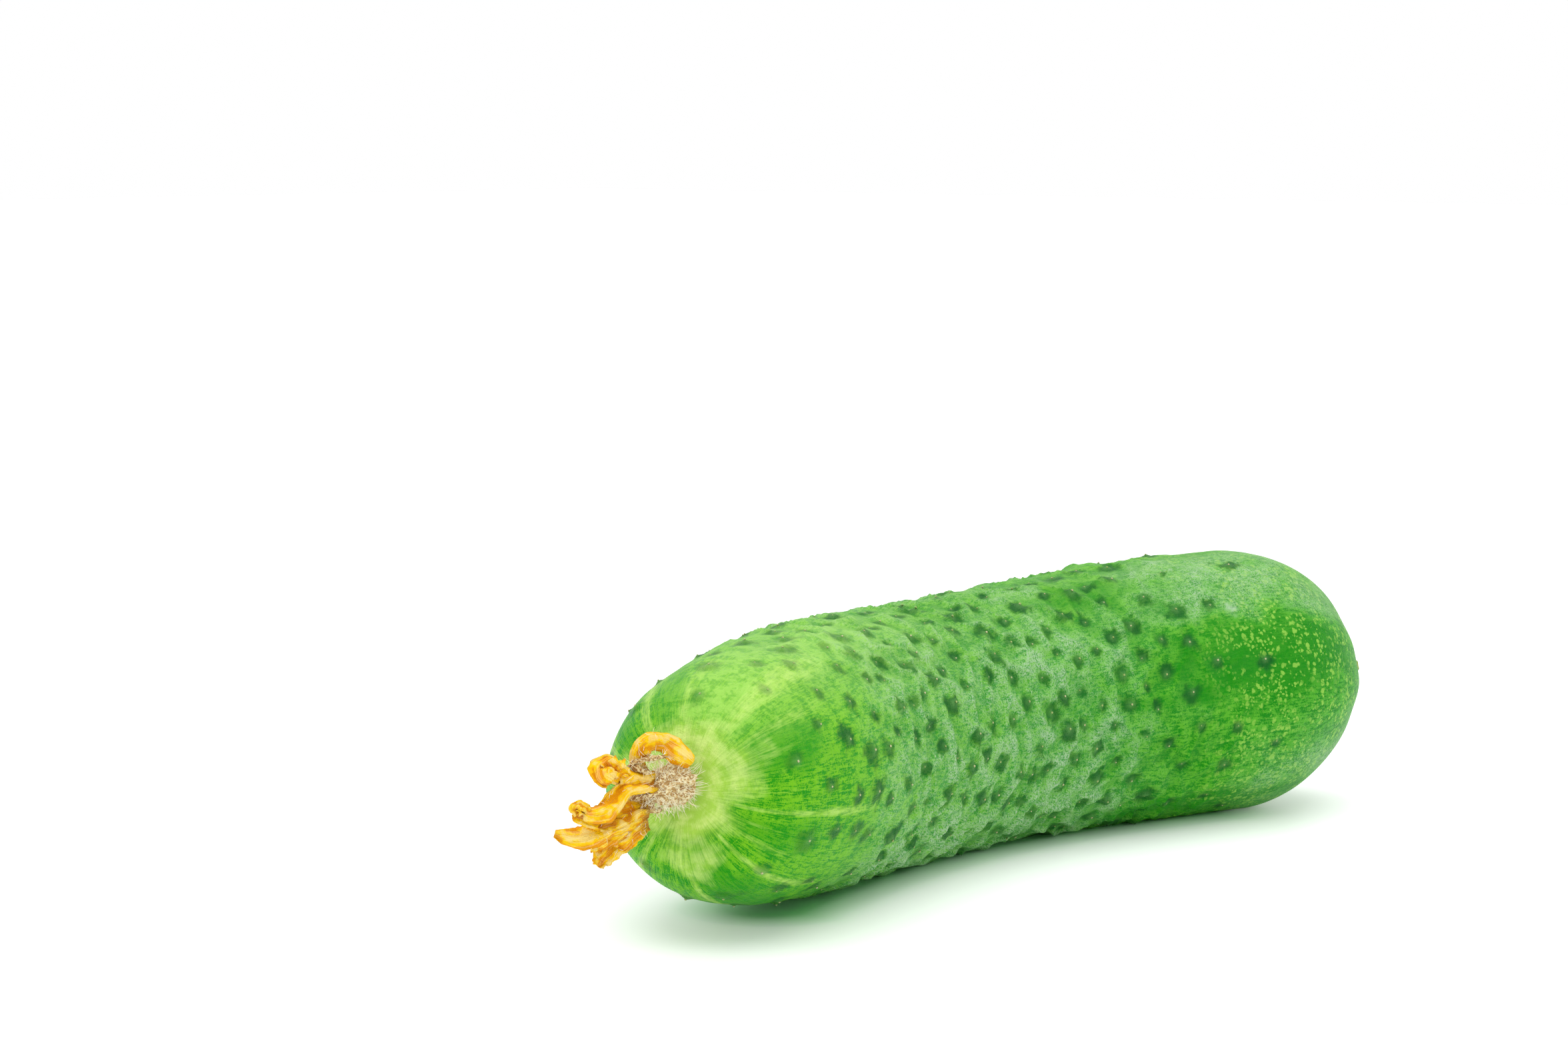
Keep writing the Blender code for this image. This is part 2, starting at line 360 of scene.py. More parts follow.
def many_spheres(mesh, count, sides, rings):
    """The same small sphere many times over. Returns its points and all vertices, in order."""
    point = mesh.verts.layers.int.new("point")
    copy = mesh.verts.layers.int.new("copy")
    made = bmesh.ops.create_uvsphere(mesh, u_segments=sides, v_segments=rings, radius=1.0)["verts"]
    sphere = np.array([v.co for v in made])
    for k, vertex in enumerate(made):
        vertex[point] = k
    copies = 1
    while copies < count:
        whole = mesh.verts[:] + mesh.edges[:] + mesh.faces[:]
        for item in bmesh.ops.duplicate(mesh, geom=whole)["geom"]:
            if isinstance(item, bmesh.types.BMVert):
                item[copy] += copies
        copies *= 2
    spare = [vertex for vertex in mesh.verts if vertex[copy] >= count]
    bmesh.ops.delete(mesh, geom=spare, context="VERTS")
    return sphere, sorted(mesh.verts, key=lambda vertex: (vertex[copy], vertex[point]))


def put_places(vertices, places):
    """Moves the vertices to places given in millimetres."""
    for vertex, place in zip(vertices, places * MM):
        vertex.co = place


def finish_piece(name, mesh, material, replaced=None, vectors=None):
    """Makes an object of a finished mesh, with its vectors, and hides the part of model.glb that
    it replaces.
    """
    data = bpy.data.meshes.new(name)
    mesh.to_mesh(data)
    mesh.free()
    for spare in ("point", "copy"):
        if spare in data.attributes:
            data.attributes.remove(data.attributes[spare])
    for attribute, values in (vectors or {}).items():
        layer = data.attributes.new(attribute, "FLOAT_VECTOR", "POINT")
        layer.data.foreach_set("vector", np.asarray(values, np.float32).ravel())
    data.materials.append(material)
    data.shade_smooth()
    piece = bpy.data.objects.new(name, data)
    bpy.context.scene.collection.objects.link(piece)
    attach(piece, BODY)
    if replaced:
        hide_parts(replaced)
    return piece


# ---------------------------------------------------------------- material helpers

class Nodes:
    """A node tree being built, with the sums and patterns that the materials share."""

    def __init__(self, tree):
        self.tree = tree

    def feed(self, socket, value):
        """Links an output to a socket, or sets the socket to a plain value."""
        if isinstance(value, bpy.types.NodeSocket):
            self.tree.links.new(value, socket)
        else:
            socket.default_value = value

    def put(self, kind, inputs=None, **settings):
        """Adds a node, sets it, and feeds its inputs."""
        node = self.tree.nodes.new(kind)
        for name, value in settings.items():
            setattr(node, name, value)
        for name, value in (inputs or {}).items():
            self.feed(node.inputs[name], value)
        return node

    def calc(self, operation, first, second=0.0, third=0.0, clamp=False):
        """One sum on values."""
        return self.put("ShaderNodeMath", {0: first, 1: second, 2: third},
                        operation=operation, use_clamp=clamp).outputs[0]

    def plus(self, first, second):
        return self.calc("ADD", first, second)

    def less(self, first, second):
        return self.calc("SUBTRACT", first, second)

    def times(self, first, second, clamp=False):
        return self.calc("MULTIPLY", first, second, clamp=clamp)

    def added(self, base, value, amount, clamp=False):
        """The base and an amount of the value."""
        return self.calc("MULTIPLY_ADD", value, amount, base, clamp)

    def swayed(self, base, value, amount, clamp=False):
        """The base, moved by how far the value is from a half."""
        return self.added(base, self.less(value, 0.5), amount, clamp)

    def contrasted(self, cloud, contrast):
        """A noise node's values, spread further about a half."""
        return self.swayed(0.5, cloud.outputs["Fac"], self.times(contrast, 2.0), clamp=True)

    def vectors(self, operation, inputs, output=0):
        """One sum on vectors."""
        return self.put("ShaderNodeVectorMath", inputs, operation=operation).outputs[output]

    def band(self, value, low, high, to_low=0.0, to_high=1.0):
        """Maps a value from low..high onto a clamped range."""
        return self.put("ShaderNodeMapRange",
                        {"Value": value, "From Min": low, "From Max": high,
                         "To Min": to_low, "To Max": to_high}).outputs["Result"]

    def tint(self, share, under, over):
        """Lays one colour over another."""
        under, over = (colour if isinstance(colour, bpy.types.NodeSocket)
                       else (*colour[:3], 1.0) for colour in (under, over))
        return self.put("ShaderNodeMix", {0: share, 6: under, 7: over},
                        data_type="RGBA").outputs[2]

    def attribute(self, name):
        return self.put("ShaderNodeAttribute", attribute_name=name).outputs["Vector"]

    def parts_of(self, name):
        """The three values of a vector attribute."""
        return self.put("ShaderNodeSeparateXYZ", {"Vector": self.attribute(name)}).outputs[:3]

    def millimetres(self):
        """The object's own coordinates, in millimetres."""
        place = self.put("ShaderNodeTexCoord").outputs["Object"]
        return self.vectors("SCALE", {0: place, "Scale": 1 / MM})

    def effect(self, name, build, inputs):
        """Places a shared node group, built at its first use, and returns its only output."""
        group = bpy.data.node_groups.get(name)
        if group is None:
            group = bpy.data.node_groups.new(name, "ShaderNodeTree")
            for label, value in inputs.items():
                kind = "NodeSocketVector" if label == "Vector" else "NodeSocketFloat"
                socket = group.interface.new_socket(name=label, in_out="INPUT", socket_type=kind)
                if label != "Vector":
                    socket.default_value = value
            group.interface.new_socket(name=name.capitalize(), in_out="OUTPUT",
                                       socket_type="NodeSocketFloat")
            start = group.nodes.new("NodeGroupInput").outputs
            end = group.nodes.new("NodeGroupOutput").inputs
            inside = Nodes(group)
            inside.feed(end[name.capitalize()], build(inside, start))
        return self.put("ShaderNodeGroup", inputs, node_tree=group).outputs[0]

    def grain(self, vector, size, detail, contrast):
        """Soft grain of one size: the values lie about a half."""
        return self.effect("grain", build_grain, {"Vector": vector, "Size": size,
                                                  "Detail": detail, "Contrast": contrast})

    def fibres(self, vector, length, width, contrast):
        """Fine fibres drawn out along the vector's first axis."""
        return self.effect("fibres", build_fibres, {"Vector": vector, "Length": length,
                                                    "Width": width, "Contrast": contrast})

    def flecks(self, vector, spacing, size, share):
        """Scattered rounded flecks, some missing, some smaller."""
        return self.effect("flecks", build_flecks, {"Vector": vector, "Spacing": spacing,
                                                    "Size": size, "Share": share})

    def finish(self, shader, colour, height, strength, distance):
        """Feeds the shader its colour, and its normal from a height in millimetres."""
        self.feed(shader.inputs["Base Color"], colour)
        node = self.put("ShaderNodeBump",
                        {"Height": height, "Strength": strength, "Distance": distance * MM})
        self.feed(shader.inputs["Normal"], node.outputs[0])


def build_grain(nodes, start):
    """The inside of the grain group."""
    scale = nodes.calc("DIVIDE", 1.0, start["Size"])
    cloud = nodes.put("ShaderNodeTexNoise",
                      {"Vector": start["Vector"], "Scale": scale, "Detail": start["Detail"]})
    return nodes.contrasted(cloud, start["Contrast"])


def build_fibres(nodes, start):
    """The inside of the fibres group."""
    lengthwise = nodes.calc("DIVIDE", 1.0, start["Length"])
    across = nodes.calc("DIVIDE", 1.0, start["Width"])
    scale = nodes.put("ShaderNodeCombineXYZ", {0: lengthwise, 1: across, 2: across}).outputs[0]
    drawn = nodes.vectors("MULTIPLY", {0: start["Vector"], 1: scale})
    cloud = nodes.put("ShaderNodeTexNoise",
                      {"Vector": drawn, "Scale": 1.0, "Detail": 3.0, "Distortion": 0.4})
    return nodes.contrasted(cloud, start["Contrast"])


def build_flecks(nodes, start):
    """The inside of the flecks group."""
    scale = nodes.calc("DIVIDE", 1.0, start["Spacing"])
    cells = nodes.put("ShaderNodeTexVoronoi",
                      {"Vector": start["Vector"], "Scale": scale, "Randomness": 1.0})
    pick = nodes.put("ShaderNodeSeparateColor", {"Color": cells.outputs["Color"]})
    size = nodes.times(start["Size"], nodes.band(pick.outputs[1], 0.0, 1.0, 0.5, 1.3))
    spot = nodes.times(nodes.less(size, cells.outputs["Distance"]), 9.0, clamp=True)
    return nodes.times(spot, nodes.calc("LESS_THAN", pick.outputs[0], start["Share"]))


def new_material(name, roughness=0.5, specular=0.5):
    """A material with only a shader and an output."""
    material = bpy.data.materials.new(name)
    material.use_nodes = True
    material.node_tree.nodes.clear()
    nodes = Nodes(material.node_tree)
    shader = nodes.put("ShaderNodeBsdfPrincipled",
                       {"Roughness": roughness, "Specular IOR Level": specular})
    nodes.put("ShaderNodeOutputMaterial", {"Surface": shader.outputs[0]})
    return material, nodes, shader


# ---------------------------------------------------------------- skin

# Pale stripes from the blossom end: angle in degrees, half width, reach over the skin, strength.
STRIPES = (
    (-10, 0.6, 38, 0.8), (-50, 0.8, 32, 0.9), (-33, 1.2, 20, 0.55), (-22, 0.7, 17, 0.4),
    (3, 0.7, 22, 0.35), (15, 1.0, 20, 0.35), (28, 1.2, 22, 0.35), (43, 1.6, 30, 0.5),
    (62, 2.2, 40, 0.75), (98, 1.5, 30, 0.6), (127, 1.6, 34, 0.7),
    (160, 1.0, 34, 0.7), (-165, 0.9, 36, 0.8), (-128, 1.0, 32, 0.8), (-88, 0.8, 34, 0.9),
)
# Patches with neither bloom nor mottling: station, angle, half length, half turn, strength. The
# patch at station 81, angle 66 is painted shadow on the top of the fruit.
DEEP_AND_SHADOW_PATCHES = (
    (4, 30, 7, 17, 0.8), (4, -26, 6, 12, 0.55), (6, -72, 12, 15, 0.8), (105, 18, 15, 18, 1.15),
    (81, 66, 10, 11, 0.8), (96, -52, 18, 9, 0.8), (5, 112, 8, 10, 0.5), (92, 140, 16, 15, 0.8),
    (100, -118, 15, 14, 0.8), (5, 145, 7, 10, 0.6), (88, 6, 9, 4, 0.5), (102, -160, 14, 14, 0.9),
)


# How far apart warts stand along the fruit, as a multiple of their spacing at the middle.
WART_STATIONS = (3, 12, 28, 84, 100, 110)
WART_THINNING = (1.8, 1.3, 1.0, 1.0, 1.5, 5.0)
WART_TRIES = 9000
TIP_CLEARANCE = 1.2             # a wart lower than this lies on the belly, its tip rubbed off
WART_REACH = 4.5                # no wart marks the skin further away than this
WART_FOOT, WART_PEAK = 0.85, 0.36       # widths of a wart's foot and of its peak
PIT_WIDTH, PIT_DEPTH = 1.35, 0.62       # the shallow hollow that a wart stands in
# The paler top of a wart is partly its pale spine scar and partly a painted highlight.
NUB_WIDTH = 0.42                # width of the paler top of a wart
# The rim on the upper, stem side of a hollow is raised, and also painted lighter as a highlight.
RIM_RADIUS, RIM_WIDTH = 1.5, 0.22       # the raised edge on one side of a hollow


def turn_between(angle, centre):
    """The signed turn from centre to angle, in radians, the short way round."""
    return (angle - centre + math.pi) % (2 * math.pi) - math.pi


def scatter_warts(form, skin):
    """Warts at random, closer together at the middle than at the ends."""
    draw = random.Random(skin.seed)
    spacing = skin.wart_spacing / MM
    stations = np.linspace(0, form.length, 300)
    radii = form.radius(stations, np.full(300, math.pi / 2 / LOBES))
    kept = []
    for _ in range(WART_TRIES):
        station = draw.uniform(WART_STATIONS[0], WART_STATIONS[-1])
        angle = draw.uniform(-math.pi, math.pi)
        least = spacing * float(np.interp(station, WART_STATIONS, WART_THINNING))
        radius = float(np.interp(station, stations, radii))
        place = (station, radius * math.cos(angle), radius * math.sin(angle))
        if all(math.dist(place, other[2]) > least for other in kept):
            kept.append((station, angle, place))
    warts = []
    for station, angle, place in kept:
        size = draw.uniform(0.65, 1.15)
        lean = draw.uniform(0, 2 * math.pi)
        warts.append({
            "station": station, "angle": angle, "place": place, "size": size,
            "pit": draw.uniform(0.35, 1.0), "lean": (math.cos(lean), math.sin(lean)),
            "dark": draw.uniform(0.75, 1.0), "spread": draw.uniform(0.9, 1.35),
        })
    return warts


def skin_relief(skin, straight, station, angle, warts):
    """Height of the skin over the smooth form, in millimetres, and its halos, its relief mask for
    painted shade in the hollows and painted highlight on the crests and rims, and its wart tops,
    paler partly as painted highlight.
    """
    middle = smooth_step(station, 14, 36) * (1 - smooth_step(station, 88, 108))
    ends = smooth_step(station, 3, 20) * (1 - smooth_step(station, 104, 118))
    ridge = skin.ridge_height / MM

    low_side = np.exp(-(turn_between(angle, math.radians(-38)) / math.radians(42)) ** 2)
    bent = straight + 1.6 * wave_vectors(straight, 6.0, 3.1)
    net = 1 - np.abs(waves(bent, 4.6, 11.3)) * 2.4
    net = np.clip(net, 0, 1) ** 2.4
    slanted = bent @ np.array(((0.13, 0.30, 0.0), (-0.06, 0.16, 0.0), (0.05, -0.05, 0.28)))
    folds = np.clip(1 - np.abs(waves(slanted, 1.0, 5.7)) * 2.6, 0, 1) ** 2
    swell = waves(straight, 9.0, 21.0)
    fine = waves(straight, 1.7, 8.0)
    height = ridge * middle * (0.85 * net + 0.60 * folds * (0.4 + low_side))
    height += 0.16 * ends * swell + 0.05 * ends * fine
    height += 0.07 * np.cos(10 * angle + 0.6) * smooth_step(station, 4, 14)

    halo = np.zeros(len(straight))
    lit_nub = np.zeros(len(straight))
    rim = np.zeros(len(straight))
    ragged = 1 + 0.55 * waves(straight, 1.3, 2.0) + 0.35 * waves(straight, 0.6, 9.0)
    pit_scale = 0.45 + 0.55 * middle
    for wart in warts:
        offset = straight - np.array(wart["place"])
        near = np.nonzero(np.abs(offset).max(axis=1) < WART_REACH)[0]
        if not len(near):
            continue
        offset = offset[near]
        distance = np.linalg.norm(offset, axis=1)
        size = wart["size"]
        late = float(smooth_step(wart["station"], 62, 88))
        pit = PIT_DEPTH * wart["pit"] * pit_scale[near]
        pit = pit * np.exp(-(distance / (PIT_WIDTH * size)) ** 2)
        rise = skin.wart_height / MM * size * (
            0.62 * np.exp(-(distance / (WART_FOOT * size)) ** 2)
            + 0.5 * np.exp(-(distance / (WART_PEAK * size)) ** 2))
        height[near] += rise - pit
        cross = np.array((-math.sin(wart["angle"]), math.cos(wart["angle"])))
        shifted = offset.copy()
        shifted[:, 0] += (0.45 - 0.25 * late) * wart["lean"][0]
        shifted[:, 1] += 0.40 * wart["lean"][1] * cross[0]
        shifted[:, 2] += 0.40 * wart["lean"][1] * cross[1]
        shifted[:, 0] /= 1.2
        spread = (1.20 - 0.18 * late) * wart["spread"] * size
        around = np.linalg.norm(shifted, axis=1) * ragged[near] / spread
        dark = wart["dark"] * (1 - smooth_step(around, 0.42, 1.15))
        halo[near] = np.maximum(halo[near], dark)
        lit_nub[near] = np.maximum(lit_nub[near], np.exp(-(distance / (NUB_WIDTH * size)) ** 2))
        # The rim on the upper, stem side of each hollow: raised, and also painted lighter as a
        # highlight.
        upward = offset[:, 1:] @ cross
        facing = (0.8 * offset[:, 0] + 0.6 * upward) / np.maximum(distance, 0.05)
        ring = distance * ragged[near] ** 0.5 - RIM_RADIUS * size
        ring = np.exp(-(ring / RIM_WIDTH) ** 2)
        ring *= wart["pit"] * pit_scale[near] * smooth_step(facing, -0.1, 0.9)
        rim[near] = np.maximum(rim[near], ring)
    fade = smooth_step(station, 2, 14)
    height += 0.18 * rim * (1 - halo)
    # Painted shade and highlight: the relief's height, kept to paint the hollows darker and the
    # crests and rims lighter.
    relief_shade = np.clip(0.45 + (height - 0.18 * middle) / 0.75 + 0.8 * rim, 0, 1)
    return height, halo * (0.5 + 0.5 * fade), relief_shade, lit_nub


def skin_tones(straight, station, reach, angle):
    """The masks pale, bloom, freckle, dark green patches (one of them painted shadow on the top of
    the fruit), painted light on the upper side of the flower end, and scar over the skin.
    """
    soft = waves(straight, 7.0, 31.0)
    patchy = waves(straight, 3.2, 41.0)
    pale = 1 - smooth_step(reach + 3.6 * patchy + 2.6 * soft, 2.0, 11.0)
    # Painted light: the upper side of the flower end made lighter, as where light from above
    # falls.
    upper = np.exp(-(turn_between(angle, math.radians(76)) / math.radians(34)) ** 2)
    lit_top = (0.95 + 0.35 * soft + 0.35 * patchy) * upper
    lit_top = np.clip(lit_top * (1 - 0.8 * smooth_step(station, 14, 66)), 0, 1)
    for degrees, half_width, end, strength in STRIPES:
        width = half_width * (0.7 + 0.6 * smooth_step(reach, 8, 30))
        wander = math.radians(degrees) + 0.05 * waves(straight, 12.0, 0.01 * degrees)
        gap = np.abs(turn_between(angle, wander)) * 14.0 / width
        stripe = np.exp(-gap ** 2) * (1 - smooth_step(reach, end * 0.45, end))
        pale = np.maximum(pale, 0.60 * strength * stripe)
    deep_and_shadow = np.zeros(len(station))
    for middle, degrees, half_length, half_turn, strength in DEEP_AND_SHADOW_PATCHES:
        away = ((station - middle) / half_length) ** 2
        away += (np.degrees(turn_between(angle, math.radians(degrees))) / half_turn) ** 2
        away = np.sqrt(away) + 0.45 * patchy + 0.2 * soft
        deep_and_shadow = np.maximum(deep_and_shadow, strength * (1 - smooth_step(away, 0.55, 1.25)))
    top = np.exp(-(turn_between(angle, math.radians(88)) / math.radians(40)) ** 2)
    bloom = smooth_step(station + 6 * soft, 12, 34) * (1 - smooth_step(station + 8 * soft, 70, 94))
    bloom *= 1 - 0.55 * top * (1 - smooth_step(station, 84, 100))
    grey_top = np.abs(turn_between(angle, math.radians(64)) + 0.10 * patchy)
    grey_top = 1 - smooth_step(grey_top, math.radians(17), math.radians(30))
    grey_low = np.exp(-(turn_between(angle, math.radians(-42)) / math.radians(20)) ** 2)
    bloom = np.maximum(bloom, grey_top * smooth_step(station, 80, 96))
    bloom = np.maximum(bloom, 0.8 * grey_low * smooth_step(station, 98, 108))
    gaps = 0.85 + 0.5 * patchy + 0.9 * waves(straight, 5.0, 51.0) * smooth_step(station, 55, 85)
    bloom = np.clip(bloom * gaps * (1 - 0.9 * deep_and_shadow), 0, 1)
    freckle = smooth_step(station + 5 * soft + 3 * patchy, 88, 104)
    scar = np.hypot(station - 101, 0.30 * np.degrees(turn_between(angle, math.radians(43))))
    scar = 1 - smooth_step(scar + 0.9 * waves(straight, 0.7, 3.0), 0.5, 1.1)
    return np.clip(pale, 0, 1), bloom, freckle, deep_and_shadow, lit_top, scar


def skin_material(skin):
    """Green mottled skin with pale stripes, freckles, dark halos and waxy bloom; shade is painted
    into the hollows, highlight onto the crests, rims and wart tops, glints into the bloom, and
    light onto the top of the flower end.
    """
    material, nodes, shader = new_material("cucumber skin", specular=0.10)
    band, tint, times, added, swayed = (nodes.band, nodes.tint, nodes.times, nodes.added,
                                        nodes.swayed)
    straight, fibre_way = nodes.attribute("straight"), nodes.attribute("fibre_way")
    reach = nodes.parts_of("straight")[0]
    halo, relief_shade, pale = nodes.parts_of("marks")
    bloom, freckle, deep_and_shadow = nodes.parts_of("tones")
    lit_top, scar, lit_nub = nodes.parts_of("lights")
    long_fibres = nodes.fibres(fibre_way, 5.0, 0.5, 1.2)
    short_fibres = nodes.fibres(fibre_way, 1.3, 0.20, 1.7)
    soft_mottle = nodes.grain(straight, 1.6, 4.0, 1.8)
    fine_grain = nodes.grain(straight, 0.17, 2.0, 2.2)
    mid_grain = nodes.grain(straight, 0.55, 2.0, 1.8)

    # Green, darker and bluer towards the stem, and lightest on top of the flower end, where light
    # from above is painted in.
    lengthwise = band(reach, 30.0, 125.0)
    leaf = tint(lengthwise, skin.leaf_green, (0.075, 0.38, 0.022))
    dark = tint(lengthwise, skin.deep_green, (0.004, 0.215, 0.001))
    mottle = added(times(soft_mottle, 0.3), short_fibres, 0.5)
    mottle = swayed(added(mottle, mid_grain, 0.25), fine_grain, 0.28)
    streaky = times(nodes.less(long_fibres, 0.45), band(reach, 44.0, 14.0, 0.0, 0.55))
    mottle = band(nodes.plus(mottle, streaky), 0.28, 0.70)
    # Dark green patches keep out the mottling; the one on top of the middle is painted shadow.
    colour = tint(times(mottle, band(deep_and_shadow, 0.0, 1.0, 1.0, 0.18)), dark, leaf)
    cloudy = added(times(mid_grain, 0.45), soft_mottle, 0.55)
    colour = tint(times(lit_top, band(cloudy, 0.25, 0.65, 0.55, 1.0)), colour, skin.lit_top_green)

    # Stripes and the disc, frayed into fibres at their edges.
    fraying = nodes.calc("MINIMUM", band(reach, 3.0, 10.0, 0.05, 0.15),
                         band(reach, 16.0, 30.0, 0.15, 0.10))
    frayed = swayed(swayed(pale, long_fibres, fraying), short_fibres, 0.13)
    frayed = times(band(frayed, 0.12, 0.92), band(pale, 0.02, 0.25))
    paleness = added(times(soft_mottle, 0.70), long_fibres, 0.30)
    pale_tone = tint(band(paleness, 0.2, 0.8), (0.40, 0.68, 0.08), skin.pale_green)
    colour = tint(frayed, colour, pale_tone)

    # Freckles of the stem end, rounded, in loose clusters.
    wobble = nodes.put("ShaderNodeTexNoise", {"Vector": straight, "Scale": 1.5, "Detail": 1.0})
    wobble = nodes.vectors("SUBTRACT", {0: wobble.outputs["Color"], 1: (0.5, 0.5, 0.5)})
    wobble = nodes.vectors("MULTIPLY_ADD", {0: wobble, 1: (0.6, 0.6, 0.6), 2: straight})
    cluster = nodes.grain(straight, 4.0, 1.0, 1.6)
    large = times(nodes.flecks(wobble, 0.86, 0.39, 0.95), band(cluster, 0.05, 0.45, 0.35, 1.0))
    small = times(nodes.flecks(wobble, 0.54, 0.40, 0.85), band(cluster, 0.20, 0.50))
    spots = times(nodes.calc("MAXIMUM", large, small), band(mid_grain, 0.10, 0.45, 0.35, 1.0))
    colour = tint(times(spots, times(freckle, 0.85)), colour, skin.freckle)

    # Painted shade darkens the hollows; then dark halos, fainter under the painted light on top;
    # then the bloom that leaves them out and gathers on the crests, partly real bloom and partly
    # painted highlight.
    colour = tint(times(band(relief_shade, 0.42, 0.05), 0.45), colour, (0.02, 0.22, 0.015))
    colour = tint(times(halo, band(lit_top, 0.2, 1.0, 0.96, 0.58)), colour, skin.halo)
    dusted = times(bloom, band(relief_shade, 0.15, 0.90, 0.38, 1.25))
    dusted = times(dusted, band(halo, 0.0, 0.7, 1.0, 0.10))
    # The bloom's speckle: partly fine grains of wax, partly painted glints.
    stipple_and_glints = band(added(times(mid_grain, 0.35), fine_grain, 0.75), 0.25, 0.85, 0.20, 1.0)
    stipple_and_glints = added(times(stipple_and_glints, 0.80), nodes.flecks(straight, 0.30, 0.42, 0.7), 0.35)
    dusted = times(dusted, stipple_and_glints, clamp=True)
    colour = tint(times(dusted, 0.93), colour, skin.bloom)
    # Paler wart tops: partly the pale spine scar, partly painted highlight.
    colour = tint(times(lit_nub, 0.42), colour, (0.20, 0.46, 0.13))
    colour = tint(times(scar, 0.6), colour, (0.46, 0.62, 0.42))

    rough = added(added(0.38, dusted, 0.25), mid_grain, 0.08, clamp=True)
    nodes.feed(shader.inputs["Roughness"], rough)
    height = added(added(times(mid_grain, 0.6), fine_grain, 0.35), short_fibres, 0.5)
    nodes.finish(shader, colour, height, 0.7, 0.12)
    return material


def spine_material(skin):
    """Dry pale tissue, greener in places."""
    material, nodes, shader = new_material("spine tip", roughness=0.55)
    place = nodes.millimetres()
    specks = nodes.grain(place, 0.15, 2.0, 1.6)
    worn = nodes.grain(place, 3.0, 1.0, 2.0)
    colour = nodes.tint(specks, (0.30, 0.33, 0.10), skin.spine)
    colour = nodes.tint(nodes.band(worn, 0.35, 0.8, 0.0, 0.7), colour, (0.22, 0.36, 0.06))
    nodes.finish(shader, colour, specks, 0.4, 0.05)
    return material


class CUCUMBER_OT_skin(bpy.types.Operator):
    """Builds the fruit's skin, with its ridges and warts, and the warts' dry tips"""

    bl_idname = "cucumber.skin"
    bl_label = "Fruit Skin"

    sides = 80
    rings = 75
    cuts = 3

    def execute(self, context):
        skin = context.scene.cucumber_skin
        form = FruitForm(skin)
        mesh = bmesh.new()
        bmesh.ops.create_uvsphere(mesh, u_segments=self.sides, v_segments=self.rings, radius=1.0)
        bmesh.ops.subdivide_edges(mesh, edges=mesh.edges[:], cuts=self.cuts, use_grid_fill=True)
        made = mesh.verts[:]
        sphere = unit(np.array([v.co for v in made]))
        stations, reaches = form.meridian()
        share = np.arccos(np.clip(sphere[:, 2], -1, 1)) / math.pi
        reach = share * reaches[-1]
        station = np.interp(reach, reaches, stations)
        angle = np.arctan2(sphere[:, 1], sphere[:, 0])
        radius = form.radius(station, angle)
        put_places(made, form.point(station, angle))
        mesh.normal_update()
        normals = np.array([v.normal for v in made])

        warts = scatter_warts(form, skin)
        straight = np.stack((station, radius * np.cos(angle), radius * np.sin(angle)), axis=-1)
        height, halo, relief_shade, lit_nub = skin_relief(skin, straight, station, angle, warts)
        places = form.point(station, angle) + normals * height[:, None]
        places[:, 2] = np.maximum(places[:, 2], 0.0)
        put_places(made, places)

        pale, bloom, freckle, deep_and_shadow, lit_top, scar = skin_tones(straight, station, reach, angle)
        vectors = {
            "straight": np.stack((reach, straight[:, 1], straight[:, 2]), axis=-1),
            "fibre_way": np.stack((reach, 14 * np.cos(angle), 14 * np.sin(angle)), axis=-1),
            "marks": np.stack((halo, relief_shade, pale), axis=-1),
            "tones": np.stack((bloom, freckle, deep_and_shadow), axis=-1),
            "lights": np.stack((lit_top, scar, lit_nub), axis=-1),
        }
        finish_piece("fruit_skin", mesh, skin_material(skin), "fruit", vectors)
        self.tips(form, skin, warts, straight, height)
        return {"FINISHED"}

    def tips(self, form, skin, warts, straight, height):
        """A small dry dome on each wart."""
        station = np.array([wart["station"] for wart in warts])
        angle = np.array([wart["angle"] for wart in warts])
        points = form.point(station, angle)
        outward = form.outward(station, angle)
        shown = [k for k in range(len(warts)) if points[k][2] > TIP_CLEARANCE]
        mesh = bmesh.new()
        sphere, vertices = many_spheres(mesh, len(shown), 8, 5)
        places = []
        for k in shown:
            wart, normal = warts[k], outward[k]
            nearest = np.argmin(np.abs(straight - np.array(wart["place"])).sum(-1))
            top = points[k] + normal * height[nearest]
            size = 0.13 * wart["size"]
            route = (top - normal * 0.12, top + normal * 0.02, top + normal * 0.11 * wart["size"])
            places.append(limb_places(sphere, route, (size, size, size * 0.75), blunt=0.8))
        put_places(vertices, np.concatenate(places))
        finish_piece("spine_tips", mesh, spine_material(skin))


# ---------------------------------------------------------------- stem stub

def stub_material():
    """Green ribbed stem with corky specks, a brown rim and a pale cut face."""
    material, nodes, shader = new_material("cut stem", roughness=0.7)
    place = nodes.millimetres()
    share = nodes.parts_of("stub")[0]
    strands = nodes.fibres(place, 2.5, 0.25, 1.8)
    specks = nodes.grain(place, 0.4, 4.0, 1.8)
    colour = nodes.tint(strands, (0.14, 0.30, 0.035), (0.40, 0.52, 0.14))
    colour = nodes.tint(nodes.band(specks, 0.55, 0.9, 0.0, 0.5), colour, (0.34, 0.26, 0.10))
    cut_face = nodes.tint(specks, (0.42, 0.40, 0.17), (0.66, 0.64, 0.36))
    colour = nodes.tint(nodes.band(share, 0.80, 0.86), colour, cut_face)
    rim = nodes.times(nodes.band(share, 0.74, 0.80), nodes.band(share, 0.90, 0.84))
    colour = nodes.tint(nodes.times(rim, 0.7), colour, (0.20, 0.13, 0.05))
    nodes.finish(shader, colour, nodes.plus(strands, specks), 0.6, 0.12)
    return material


